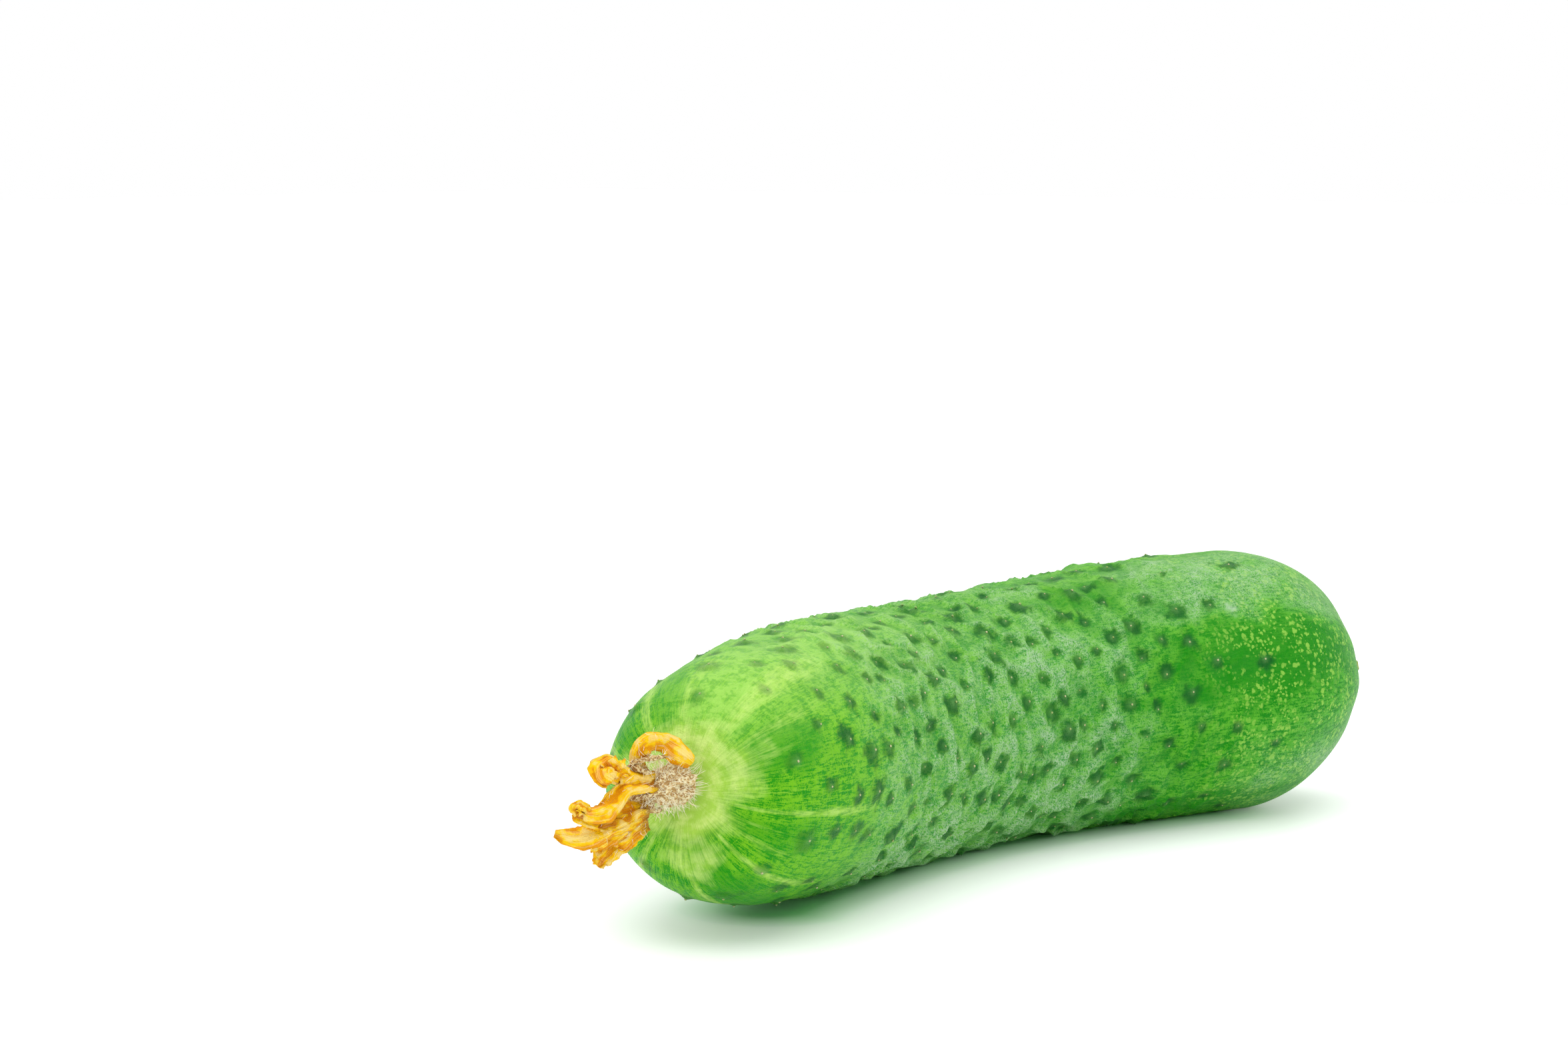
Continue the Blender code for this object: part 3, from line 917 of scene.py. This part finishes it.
class CUCUMBER_OT_stem_stub(bpy.types.Operator):
    """Builds the short cut stub of the stem in its dimple"""

    bl_idname = "cucumber.stem_stub"
    bl_label = "Stem Stub"

    def execute(self, context):
        form = FruitForm(context.scene.cucumber_skin)
        end = np.array([form.length])
        ahead, side, up = (axis[0] for axis in form.axes(end))
        foot = form.centre(end)[0] + ahead * (STUB_SEAT - DIMPLE_DEPTH)
        mesh = bmesh.new()
        made = bmesh.ops.create_uvsphere(mesh, u_segments=60, v_segments=44, radius=1.0)["verts"]
        sphere = np.array([v.co for v in made])
        share, angle = sphere_shares(sphere)
        marks, outs, rises = zip(*STUB_OUTLINE)
        out, rise = np.interp(share, marks, outs), np.interp(share, marks, rises)
        ribs = 1 + 0.10 * np.cos(5 * angle + 0.4) * (1 - 0.4 * share) + 0.03 * np.cos(13 * angle)
        local = np.stack((out * np.cos(angle), out * np.sin(angle), rise), axis=-1)
        rough = waves(local, 0.9, 4.0) * 0.09 + waves(local, 0.35, 14.0) * 0.05
        out = out * ribs + rough * (out > 0)
        rise = rise + 0.12 * waves(local, 0.6, 7.0) * smooth_step(share, 0.78, 0.9)
        places = foot + (out * np.cos(angle))[:, None] * up + (out * np.sin(angle))[:, None] * side
        places = places + rise[:, None] * ahead
        put_places(made, places)
        vectors = {"stub": np.stack((share, angle, out), axis=-1)}
        finish_piece("cut_stub", mesh, stub_material(), "stem_stub", vectors)
        return {"FINISHED"}


# ---------------------------------------------------------------- flower

DRIED_WIDTH = 0.62              # how far a petal has shrunk from its listed half widths
SEPAL_HAIRS, PETAL_HAIRS = 80, 26       # hairs on each calyx lobe and on each petal's root
HAIR_ROOTS_AT = 0.8             # share of the radius at which hairs start, out of sight


def strip(mesh, route, widths, facing, cup, pleats, depth, crumple, ragged, shift, roots=0.0):
    """A dried ribbon of petal along a route. Returns its share, side and fold at each vertex."""
    made = bmesh.ops.create_grid(mesh, x_segments=18, y_segments=56, size=1.0)["verts"]
    flat = np.array([v.co for v in made])
    across, share = flat[:, 0], (flat[:, 1] + 1) / 2
    spine = along(route, share)
    ahead = unit(along(route, share + 0.01) - along(route, share - 0.01))
    facing = np.array(facing)
    front = unit(facing - (facing * ahead).sum(-1, keepdims=True) * ahead)
    side = np.cross(ahead, front)

    width = evenly(share, widths) * DRIED_WIDTH
    edge_points = np.stack((share * 14 + shift, np.sign(across) * 3.0, across * 0 + shift), -1)
    width = width * (1 + ragged * np.abs(across) ** 2 * (
        waves(edge_points, 1.6) + 0.7 * waves(edge_points, 0.5)) * 1.6)
    out = width * np.sin(across * cup) / np.sin(cup)
    back = width * (np.cos(across * cup) - 1) / cup
    sway = 1.3 * waves(np.stack((share * 5, share * 0, share * 0 + shift), -1), 1.0)
    fold = np.cos(0.62 * math.pi * pleats * across + 2.2 * sway + shift)
    length = np.linalg.norm(np.diff(np.array(route, float), axis=0), axis=1).sum()
    lined = np.stack((share * length * 0.8, across * width * 1.5, across * 0 + shift), -1)
    wrinkle = waves(lined, 0.85, 2.0) + 0.5 * waves(lined, 0.34, 5.0)
    lift = 1.5 * depth * fold + crumple * 0.8 * wrinkle
    places = spine + out[:, None] * side + (back + lift)[:, None] * front
    places = places + crumple * 0.55 * wave_vectors(places, 1.3, shift)
    put_places(made, places)
    # The fold's height, which the material paints as shade in the hollows and highlight on the
    # highest folds.
    raised = np.clip(0.5 + 0.38 * fold * min(1.0, depth / 0.1) + 0.42 * wrinkle, 0, 1)
    rooted = np.clip(share + roots, 0, 1)
    return np.stack((rooted, across, raised), -1)


def petal_material(flower):
    """Yellow petal, redder in its hollows as painted shade and paler on its highest folds, partly
    dried tissue and partly painted highlight, with fine veins, and brown roots and edges.
    """
    material, nodes, shader = new_material("dried petal", roughness=0.6, specular=0.1)
    band, tint, times = nodes.band, nodes.tint, nodes.times
    place = nodes.millimetres()
    share, across, raised = nodes.parts_of("petal")
    stretched = nodes.vectors("MULTIPLY", {0: nodes.attribute("petal"), 1: (9.0, 1.6, 0.0)})
    veins = nodes.fibres(stretched, 5.0, 0.22, 2.4)
    blotch = nodes.grain(place, 0.9, 3.0, 1.8)
    specks = nodes.grain(place, 0.16, 2.0, 1.8)

    # Painted shade and highlight: redder in the hollows of the folds, paler on the highest folds.
    level = nodes.swayed(raised, blotch, 0.5)
    colour = tint(band(level, 0.30, 0.62), flower.shade_orange, flower.yellow)
    colour = tint(times(band(level, 0.72, 0.95), 0.45), colour, flower.cream_and_highlight)
    colour = tint(times(band(veins, 0.62, 0.85), 0.20), colour, (0.96, 0.84, 0.42))
    colour = tint(times(band(veins, 0.34, 0.16), 0.22), colour, (0.74, 0.32, 0.01))
    edge = times(band(nodes.calc("ABSOLUTE", across), 0.88, 1.0), band(blotch, 0.35, 0.7))
    colour = tint(times(edge, 0.6), colour, (0.48, 0.22, 0.05))
    root = band(nodes.swayed(share, specks, 0.10), 0.16, 0.02)
    colour = tint(times(root, 0.75), colour, flower.brown)
    nodes.finish(shader, colour, nodes.added(times(specks, 0.5), veins, 0.8), 0.8, 0.14)
    return material


def dried_material(name, dark, light, bright):
    """Brown dried tissue with pale strands."""
    material, nodes, shader = new_material(name, roughness=0.85, specular=0.2)
    place = nodes.millimetres()
    strands = nodes.fibres(place, 1.6, 0.20, 2.2)
    specks = nodes.grain(place, 0.35, 4.0, 2.0)
    colour = nodes.tint(strands, dark, light)
    colour = nodes.tint(nodes.band(specks, 0.50, 0.80), colour, bright)
    nodes.finish(shader, colour, nodes.plus(strands, specks), 0.8, 0.12)
    return material


def hair_material(flower):
    """Cream hair, browner in places."""
    material, nodes, shader = new_material("fine hair")
    tone = nodes.grain(nodes.millimetres(), 0.5, 2.0, 2.0)
    colour = nodes.tint(tone, (0.92, 0.77, 0.47), flower.hair)
    nodes.feed(shader.inputs["Base Color"], colour)
    return material


TOWARDS = (-0.745, -0.658, 0.108)       # the side of the flower that shows most

PETALS = {
    "petal_top": (
        dict(route=((-6.6, -0.6, 3.0), (-7.6, -0.4, 4.3), (-7.4, -0.7, 5.7), (-6.3, -1.1, 6.4),
                    (-4.8, -1.5, 6.1), (-3.4, -1.9, 5.1), (-1.7, -2.6, 3.7)),
             widths=(0.8, 1.4, 1.7, 1.6, 1.6, 2.3, 1.3), facing=(-0.55, -0.75, 0.40), cup=0.9,
             pleats=1.4, depth=0.10, crumple=0.16, ragged=0.08, shift=1.3),
    ),
    "petal_curled": (
        dict(route=((-6.6, -0.6, 2.5), (-8.3, -0.4, 3.0), (-9.9, -0.3, 3.7), (-11.2, -0.1, 4.3),
                    (-12.2, -0.1, 4.3), (-12.6, -0.4, 3.5), (-12.1, -0.9, 2.9)),
             widths=(0.8, 1.2, 1.7, 2.3, 2.6, 2.4, 1.5), facing=(-0.6, -0.6, 0.7), cup=0.8,
             pleats=1.6, depth=0.12, crumple=0.42, ragged=0.16, shift=2.1),
        dict(route=((-7.1, -0.6, 2.2), (-8.9, -0.7, 2.6), (-10.6, -0.8, 3.2), (-11.6, -0.7, 4.0),
                    (-12.0, -0.2, 4.9)),
             widths=(0.9, 1.2, 1.9, 2.2, 1.2), facing=TOWARDS, cup=1.1, pleats=2.2, depth=0.2,
             crumple=0.42, ragged=0.22, shift=4.4),
        dict(route=((-5.8, -1.2, 2.5), (-7.7, -1.0, 2.6), (-9.3, -0.9, 2.5), (-10.9, -0.7, 2.5)),
             widths=(0.9, 1.2, 1.3, 0.8), facing=TOWARDS, cup=1.2, pleats=1.6, depth=0.12,
             crumple=0.24, ragged=0.18, shift=6.2),
    ),
    "petal_middle": (
        dict(route=((-5.2, -1.5, 1.5), (-6.7, -1.5, 1.9), (-8.4, -1.4, 2.0), (-10.5, -1.3, 2.0),
                    (-12.1, -1.2, 0.9), (-13.4, -1.2, 0.1), (-14.9, -0.9, -0.1),
                    (-16.1, -0.6, 0.5), (-16.8, -0.5, 0.5)),
             widths=(1.0, 1.4, 1.3, 1.5, 1.9, 1.8, 1.3, 1.2, 0.9), facing=(-0.6, -0.7, 0.5),
             cup=1.1, pleats=1.8, depth=0.20, crumple=0.26, ragged=0.12, shift=7.7),
        dict(route=((-6.4, -0.7, -0.5), (-8.3, -0.5, -0.7), (-10.3, -0.4, -0.9),
                    (-12.3, -0.3, -1.2), (-14.0, -0.1, -1.0), (-15.7, 0.1, -0.4),
                    (-16.3, 0.1, 0.1)),
             widths=(1.1, 1.7, 1.9, 1.7, 1.5, 1.3, 0.9), facing=TOWARDS, cup=0.7, pleats=1.4,
             depth=0.06, crumple=0.20, ragged=0.12, shift=9.1),
        dict(route=((-15.3, -0.8, 0.1), (-16.2, -0.6, 1.0), (-16.9, -0.3, 0.7),
                    (-16.6, -0.4, 0.0)),
             widths=(0.8, 1.1, 1.1, 0.7), facing=(-0.5, -0.5, 0.8), cup=0.9, pleats=1.2,
             depth=0.1, crumple=0.16, ragged=0.1, roots=0.3, shift=10.4),
    ),
    "petal_long": (
        dict(route=((-6.4, -0.8, -1.0), (-8.2, -0.7, -1.3), (-10.1, -0.7, -1.7),
                    (-11.8, -0.3, -1.9), (-13.3, 0.1, -2.4), (-14.7, 0.7, -2.8),
                    (-15.9, 1.6, -2.7), (-17.0, 2.6, -2.3)),
             widths=(1.2, 1.5, 1.6, 1.8, 2.0, 2.0, 1.6, 0.7), facing=(-0.65, -0.7, 0.25),
             cup=0.6, pleats=1.5, depth=0.10, crumple=0.24, ragged=0.14, shift=12.3),
        dict(route=((-7.0, -1.0, -0.6), (-9.1, -1.1, -1.0), (-10.8, -1.1, -1.4),
                    (-12.3, -0.9, -1.6), (-13.6, -0.5, -1.9)),
             widths=(0.7, 0.9, 1.0, 0.9, 0.6), facing=(-0.6, -0.6, 0.6), cup=1.3, pleats=1.2,
             depth=0.14, crumple=0.2, ragged=0.14, shift=14.5),
    ),
    "petal_bottom": (
        dict(route=((-6.4, -0.5, -2.3), (-8.0, -0.2, -2.9), (-9.7, 0.1, -3.7),
                    (-11.1, 0.3, -4.5), (-12.2, 0.5, -5.5), (-12.7, 0.5, -6.1)),
             widths=(1.4, 2.1, 2.4, 2.1, 1.6, 0.9), facing=(-0.65, -0.75, 0.1), cup=0.6,
             pleats=2.2, depth=0.14, crumple=0.28, ragged=0.2, shift=16.6),
        dict(route=((-9.6, -0.4, -2.5), (-11.3, -0.2, -3.1), (-12.7, 0.1, -3.7),
                    (-13.8, 0.7, -4.2)),
             widths=(1.2, 1.5, 1.3, 0.7), facing=TOWARDS, cup=0.8, pleats=1.8, depth=0.12,
             crumple=0.26, ragged=0.28, roots=0.2, shift=18.2),
    ),
}

SEPALS = {
    "sepal_upper": (((-6.4, -1.2, 3.0), (-7.9, -0.7, 3.5), (-8.4, -0.4, 4.1), (-7.6, -1.0, 4.5),
                     (-6.1, -1.5, 4.6), (-4.5, -2.0, 4.7)), (0.45, 0.6, 0.6, 0.5, 0.42, 0.25)),
    "sepal_front": (((-4.9, -1.9, 0.9), (-6.3, -1.8, 1.0), (-7.5, -1.4, 0.8), (-8.7, -1.0, 0.7)),
                    (0.35, 0.42, 0.35, 0.2)),
    "sepal_lower": (((-5.0, -0.9, 0.8), (-6.3, -0.3, 0.6), (-7.4, 0.2, 0.4), (-8.7, 0.3, 0.0)),
                    (0.6, 0.95, 0.85, 0.3)),
    "sepal_back": (((-5.9, -0.4, 0.5), (-5.3, 0.4, -0.8), (-4.0, 1.2, -1.6), (-2.5, 1.7, -1.8),
                    (-1.2, 2.0, -1.8)), (0.55, 0.6, 0.5, 0.4, 0.2)),
    "sepal_rear": (((-5.9, -0.2, 1.2), (-5.1, 1.0, 1.5), (-3.7, 1.7, 1.9), (-2.3, 2.1, 2.1),
                    (-1.1, 2.4, 2.2)), (0.55, 0.6, 0.5, 0.4, 0.2)),
}


class CUCUMBER_OT_petals(bpy.types.Operator):
    """Builds the five withered petals from crumpled strips"""

    bl_idname = "cucumber.petals"
    bl_label = "Petals"

    def execute(self, context):
        flower = context.scene.cucumber_flower
        tip = FruitForm(context.scene.cucumber_skin).tip()
        material = petal_material(flower)
        for node, strips in PETALS.items():
            mesh = bmesh.new()
            look = []
            for choices in strips:
                routed = dict(choices)
                routed["route"] = np.array(choices["route"]) + tip
                look.append(strip(mesh, **routed))
            piece = finish_piece(node + "_dried", mesh, material, node,
                                 {"petal": np.concatenate(look)})
            wall = piece.modifiers.new("wall", "SOLIDIFY")
            wall.thickness = flower.petal_thickness
            wall.offset = 0.0
            soften = piece.modifiers.new("soften", "SUBSURF")
            soften.levels = soften.render_levels = 1
        return {"FINISHED"}


class CUCUMBER_OT_sepals(bpy.types.Operator):
    """Builds the five dried, hairy calyx lobes"""

    bl_idname = "cucumber.sepals"
    bl_label = "Calyx Lobes"

    def execute(self, context):
        tip = FruitForm(context.scene.cucumber_skin).tip()
        material = dried_material("dried calyx", (0.30, 0.13, 0.035), (0.64, 0.42, 0.16),
                                  (0.86, 0.72, 0.40))
        for node, (route, radii) in SEPALS.items():
            mesh = bmesh.new()
            sphere, made = many_spheres(mesh, 1, 26, 60)
            places = limb_places(sphere, np.array(route) + tip, radii, flat=0.55)
            places = places + 0.16 * wave_vectors(places, 0.6, 3.0)
            places = places + 0.07 * wave_vectors(places, 0.22, 9.0)
            put_places(made, places)
            finish_piece(node + "_dried", mesh, material, node)
        return {"FINISHED"}


class CUCUMBER_OT_collar(bpy.types.Operator):
    """Builds the shrunken collar under the petals and its dense hairs"""

    bl_idname = "cucumber.collar"
    bl_label = "Flower Collar"

    def execute(self, context):
        flower = context.scene.cucumber_flower
        tip = FruitForm(context.scene.cucumber_skin).tip()
        route = np.array(COLLAR) + tip
        mesh = bmesh.new()
        sphere, made = many_spheres(mesh, 1, 90, 70)
        share, angle = sphere_shares(sphere)
        places = limb_places(sphere, route, COLLAR_RADII, blunt=0.5)
        furrows = 0.16 * np.cos(9 * angle + 5 * share) + 0.10 * np.cos(17 * angle - 4 * share)
        outward = unit(places - along(route, share))
        places = places + outward * (furrows * np.sin(math.pi * share))[:, None]
        places = places + 0.30 * wave_vectors(places, 1.1, 2.0)
        places = places + 0.12 * wave_vectors(places, 0.4, 6.0)
        put_places(made, places)
        material = dried_material("dried collar", (0.38, 0.19, 0.055), (0.70, 0.48, 0.20),
                                  (0.93, 0.83, 0.53))
        finish_piece("collar_dried", mesh, material, "flower_collar")
        self.hairs(flower, tip)
        return {"FINISHED"}

    def hairs(self, flower, tip):
        """Fine hairs standing out from the collar, the calyx lobes and the petal roots."""
        draw = random.Random(flower.seed)
        thick = flower.hair_radius / MM
        longest = flower.hair_length / MM
        # Route, radii, number of hairs, shares between which they grow, share of full length.
        beds = [(np.array(COLLAR) + tip, COLLAR_RADII, flower.hair_count, (0.06, 0.95), 1.05)]
        for route, radii in SEPALS.values():
            beds.append((np.array(route) + tip, radii, SEPAL_HAIRS, (0.1, 0.95), 0.62))
        for strips in PETALS.values():
            route = np.array(strips[0]["route"]) + tip
            beds.append((route, (0.6, 0.8), PETAL_HAIRS, (0.02, 0.6), 0.6))
        mesh = bmesh.new()
        sphere, vertices = many_spheres(mesh, sum(bed[2] for bed in beds), 3, 5)
        places = []
        for route, radii, count, (low, high), scale in beds:
            for _ in range(count):
                share = np.array([draw.uniform(low, high)])
                angle = draw.uniform(0, 2 * math.pi)
                ahead, first, second = (axis[0] for axis in limb_axes(route, share))
                out = math.cos(angle) * first + math.sin(angle) * second
                root = along(route, share)[0] + out * evenly(share, radii)[0] * HAIR_ROOTS_AT
                stray = np.array([draw.gauss(0, 1) for _ in range(3)])
                way = unit(0.8 * out + 0.75 * stray - 0.12 * ahead)
                curl = np.array([draw.gauss(0, 1) for _ in range(3)])
                length = longest * scale * draw.uniform(0.35, 1.0)
                steps = (root, root + way * length * 0.35,
                         root + way * length * 0.7 + curl * 0.06 * length,
                         root + way * length + curl * 0.14 * length)
                places.append(limb_places(sphere, steps, (thick, thick, thick * 0.8, thick * 0.35),
                                          blunt=0.05))
        put_places(vertices, np.concatenate(places))
        finish_piece("collar_hairs", mesh, hair_material(flower))


# ---------------------------------------------------------------- stage

FLOOR_DROP = 0.0001             # metres, so that the belly's flat doesn't lie in the floor
# The floor's painted green shadow and painted light stop this far short of each end of the fruit.
PAINTED_SHADE_ENDS_BEFORE = 23.0        # how far before each end of the fruit the floor's green stops


def floor_material(form):
    """Pale floor with painted green shadow close to the fruit, and painted light further away that
    leaves painted shade around it.
    """
    material, nodes, shader = new_material("pale floor", roughness=0.42, specular=0.35)
    along_x, along_y, _ = nodes.put("ShaderNodeSeparateXYZ",
                                    {"Vector": nodes.millimetres()}).outputs
    # The nearest point of the fruit's bent axis, short of its rounded ends.
    half = form.length / 2 - PAINTED_SHADE_ENDS_BEFORE
    middle = nodes.calc("MAXIMUM", nodes.calc("MINIMUM", along_x, half), -half)
    turn = nodes.calc("COSINE", nodes.times(middle, math.pi / form.length))
    bent = nodes.added(-form.bend, turn, form.bend)
    away = nodes.put("ShaderNodeCombineXYZ", {0: nodes.less(along_x, middle),
                                              1: nodes.less(along_y, bent)})
    away = nodes.vectors("LENGTH", {0: away.outputs[0]}, 1)
    # Painted shadow: the floor turns green close to the fruit.
    colour = nodes.tint(nodes.band(away, 4.0, 12.5), (0.42, 0.94, 0.48), (0.90, 0.92, 0.915))
    nodes.feed(shader.inputs["Base Color"], colour)
    # Painted light: the floor gives off light away from the fruit, which leaves painted shade
    # close to it.
    painted_glow = nodes.tint(nodes.band(away, 5.0, 11.0), (0.0, 0.0, 0.0), (0.20, 0.20, 0.20))
    nodes.feed(shader.inputs["Emission Color"], painted_glow)
    shader.inputs["Emission Strength"].default_value = 1.0
    return material


class CUCUMBER_OT_stage(bpy.types.Operator):
    """Sets up the floor, the light and the camera"""

    bl_idname = "cucumber.stage"
    bl_label = "Stage"

    aim = (-0.01245, 0.01411, 0.03947)
    light_way = (0.08, 0.08, -1.0)

    def execute(self, context):
        stage = context.scene.cucumber_stage
        mesh = bmesh.new()
        bmesh.ops.create_grid(mesh, x_segments=1, y_segments=1, size=stage.floor_size / 2)
        bmesh.ops.translate(mesh, verts=mesh.verts, vec=(0.0, 0.0, -FLOOR_DROP))
        data = bpy.data.meshes.new("floor")
        mesh.to_mesh(data)
        mesh.free()
        data.materials.append(floor_material(FruitForm(context.scene.cucumber_skin)))
        floor = bpy.data.objects.new("floor", data)
        context.scene.collection.objects.link(floor)

        world = bpy.data.worlds.new("white surroundings")
        world.use_nodes = True
        nodes = Nodes(world.node_tree)
        seen = nodes.put("ShaderNodeLightPath").outputs["Is Camera Ray"]
        background = world.node_tree.nodes["Background"].inputs
        background["Color"].default_value = (1.0, 1.0, 1.0, 1.0)
        nodes.feed(background["Strength"], nodes.band(seen, 0.0, 1.0, stage.sky, 1.0))
        context.scene.world = world
        context.scene.view_settings.view_transform = "Standard"

        lamp = bpy.data.lights.new("overhead", "SUN")
        lamp.energy = stage.overhead
        lamp.angle = stage.softness
        overhead = bpy.data.objects.new("overhead", lamp)
        overhead.rotation_euler = Vector(self.light_way).to_track_quat("-Z", "Y").to_euler()
        context.scene.collection.objects.link(overhead)

        lens = bpy.data.cameras.new("camera")
        lens.lens = stage.lens
        lens.sensor_width = 36.0
        lens.clip_start = 0.01
        camera = bpy.data.objects.new("camera", lens)
        level = math.cos(stage.elevation)
        look = Vector((-math.sin(stage.azimuth) * level, math.cos(stage.azimuth) * level,
                       -math.sin(stage.elevation)))
        camera.location = Vector(self.aim) - look * stage.distance
        camera.rotation_euler = look.to_track_quat("-Z", "Y").to_euler()
        context.scene.collection.objects.link(camera)
        context.scene.camera = camera
        return {"FINISHED"}


# ---------------------------------------------------------------- add-on

class CUCUMBER_PT_panel(bpy.types.Panel):
    """Lists the cucumber's settings and the steps that build it"""

    bl_idname = "CUCUMBER_PT_panel"
    bl_label = "Cucumber"
    bl_space_type = "VIEW_3D"
    bl_region_type = "UI"
    bl_category = "Cucumber"

    def draw(self, context):
        layout = self.layout
        for owner, steps in PANEL_ROWS:
            box = layout.box()
            settings = getattr(context.scene, owner)
            for name in type(settings).__annotations__:
                box.prop(settings, name)
            for step in steps:
                box.operator(step)


PANEL_ROWS = (
    ("cucumber_skin", ("cucumber.skin", "cucumber.stem_stub")),
    ("cucumber_flower", ("cucumber.collar", "cucumber.sepals", "cucumber.petals")),
    ("cucumber_stage", ("cucumber.stage",)),
)
SETTINGS = {
    "cucumber_skin": CucumberSkinSettings,
    "cucumber_flower": CucumberFlowerSettings,
    "cucumber_stage": CucumberStageSettings,
}
CLASSES = (
    CucumberSkinSettings, CucumberFlowerSettings, CucumberStageSettings,
    CUCUMBER_OT_skin, CUCUMBER_OT_stem_stub, CUCUMBER_OT_collar, CUCUMBER_OT_sepals,
    CUCUMBER_OT_petals, CUCUMBER_OT_stage, CUCUMBER_PT_panel,
)


def register():
    """Makes the operators, the panel and the settings known to Blender."""
    for made in CLASSES:
        bpy.utils.register_class(made)
    for name, group in SETTINGS.items():
        setattr(bpy.types.Scene, name, PointerProperty(type=group))


def unregister():
    """Takes back what register added."""
    for name in SETTINGS:
        delattr(bpy.types.Scene, name)
    for made in reversed(CLASSES):
        bpy.utils.unregister_class(made)


def main():
    """Builds the stage and every piece."""
    register()
    bpy.ops.cucumber.stage()
    bpy.ops.cucumber.skin()
    bpy.ops.cucumber.stem_stub()
    bpy.ops.cucumber.collar()
    bpy.ops.cucumber.sepals()
    bpy.ops.cucumber.petals()


if __name__ == "__main__":
    main()
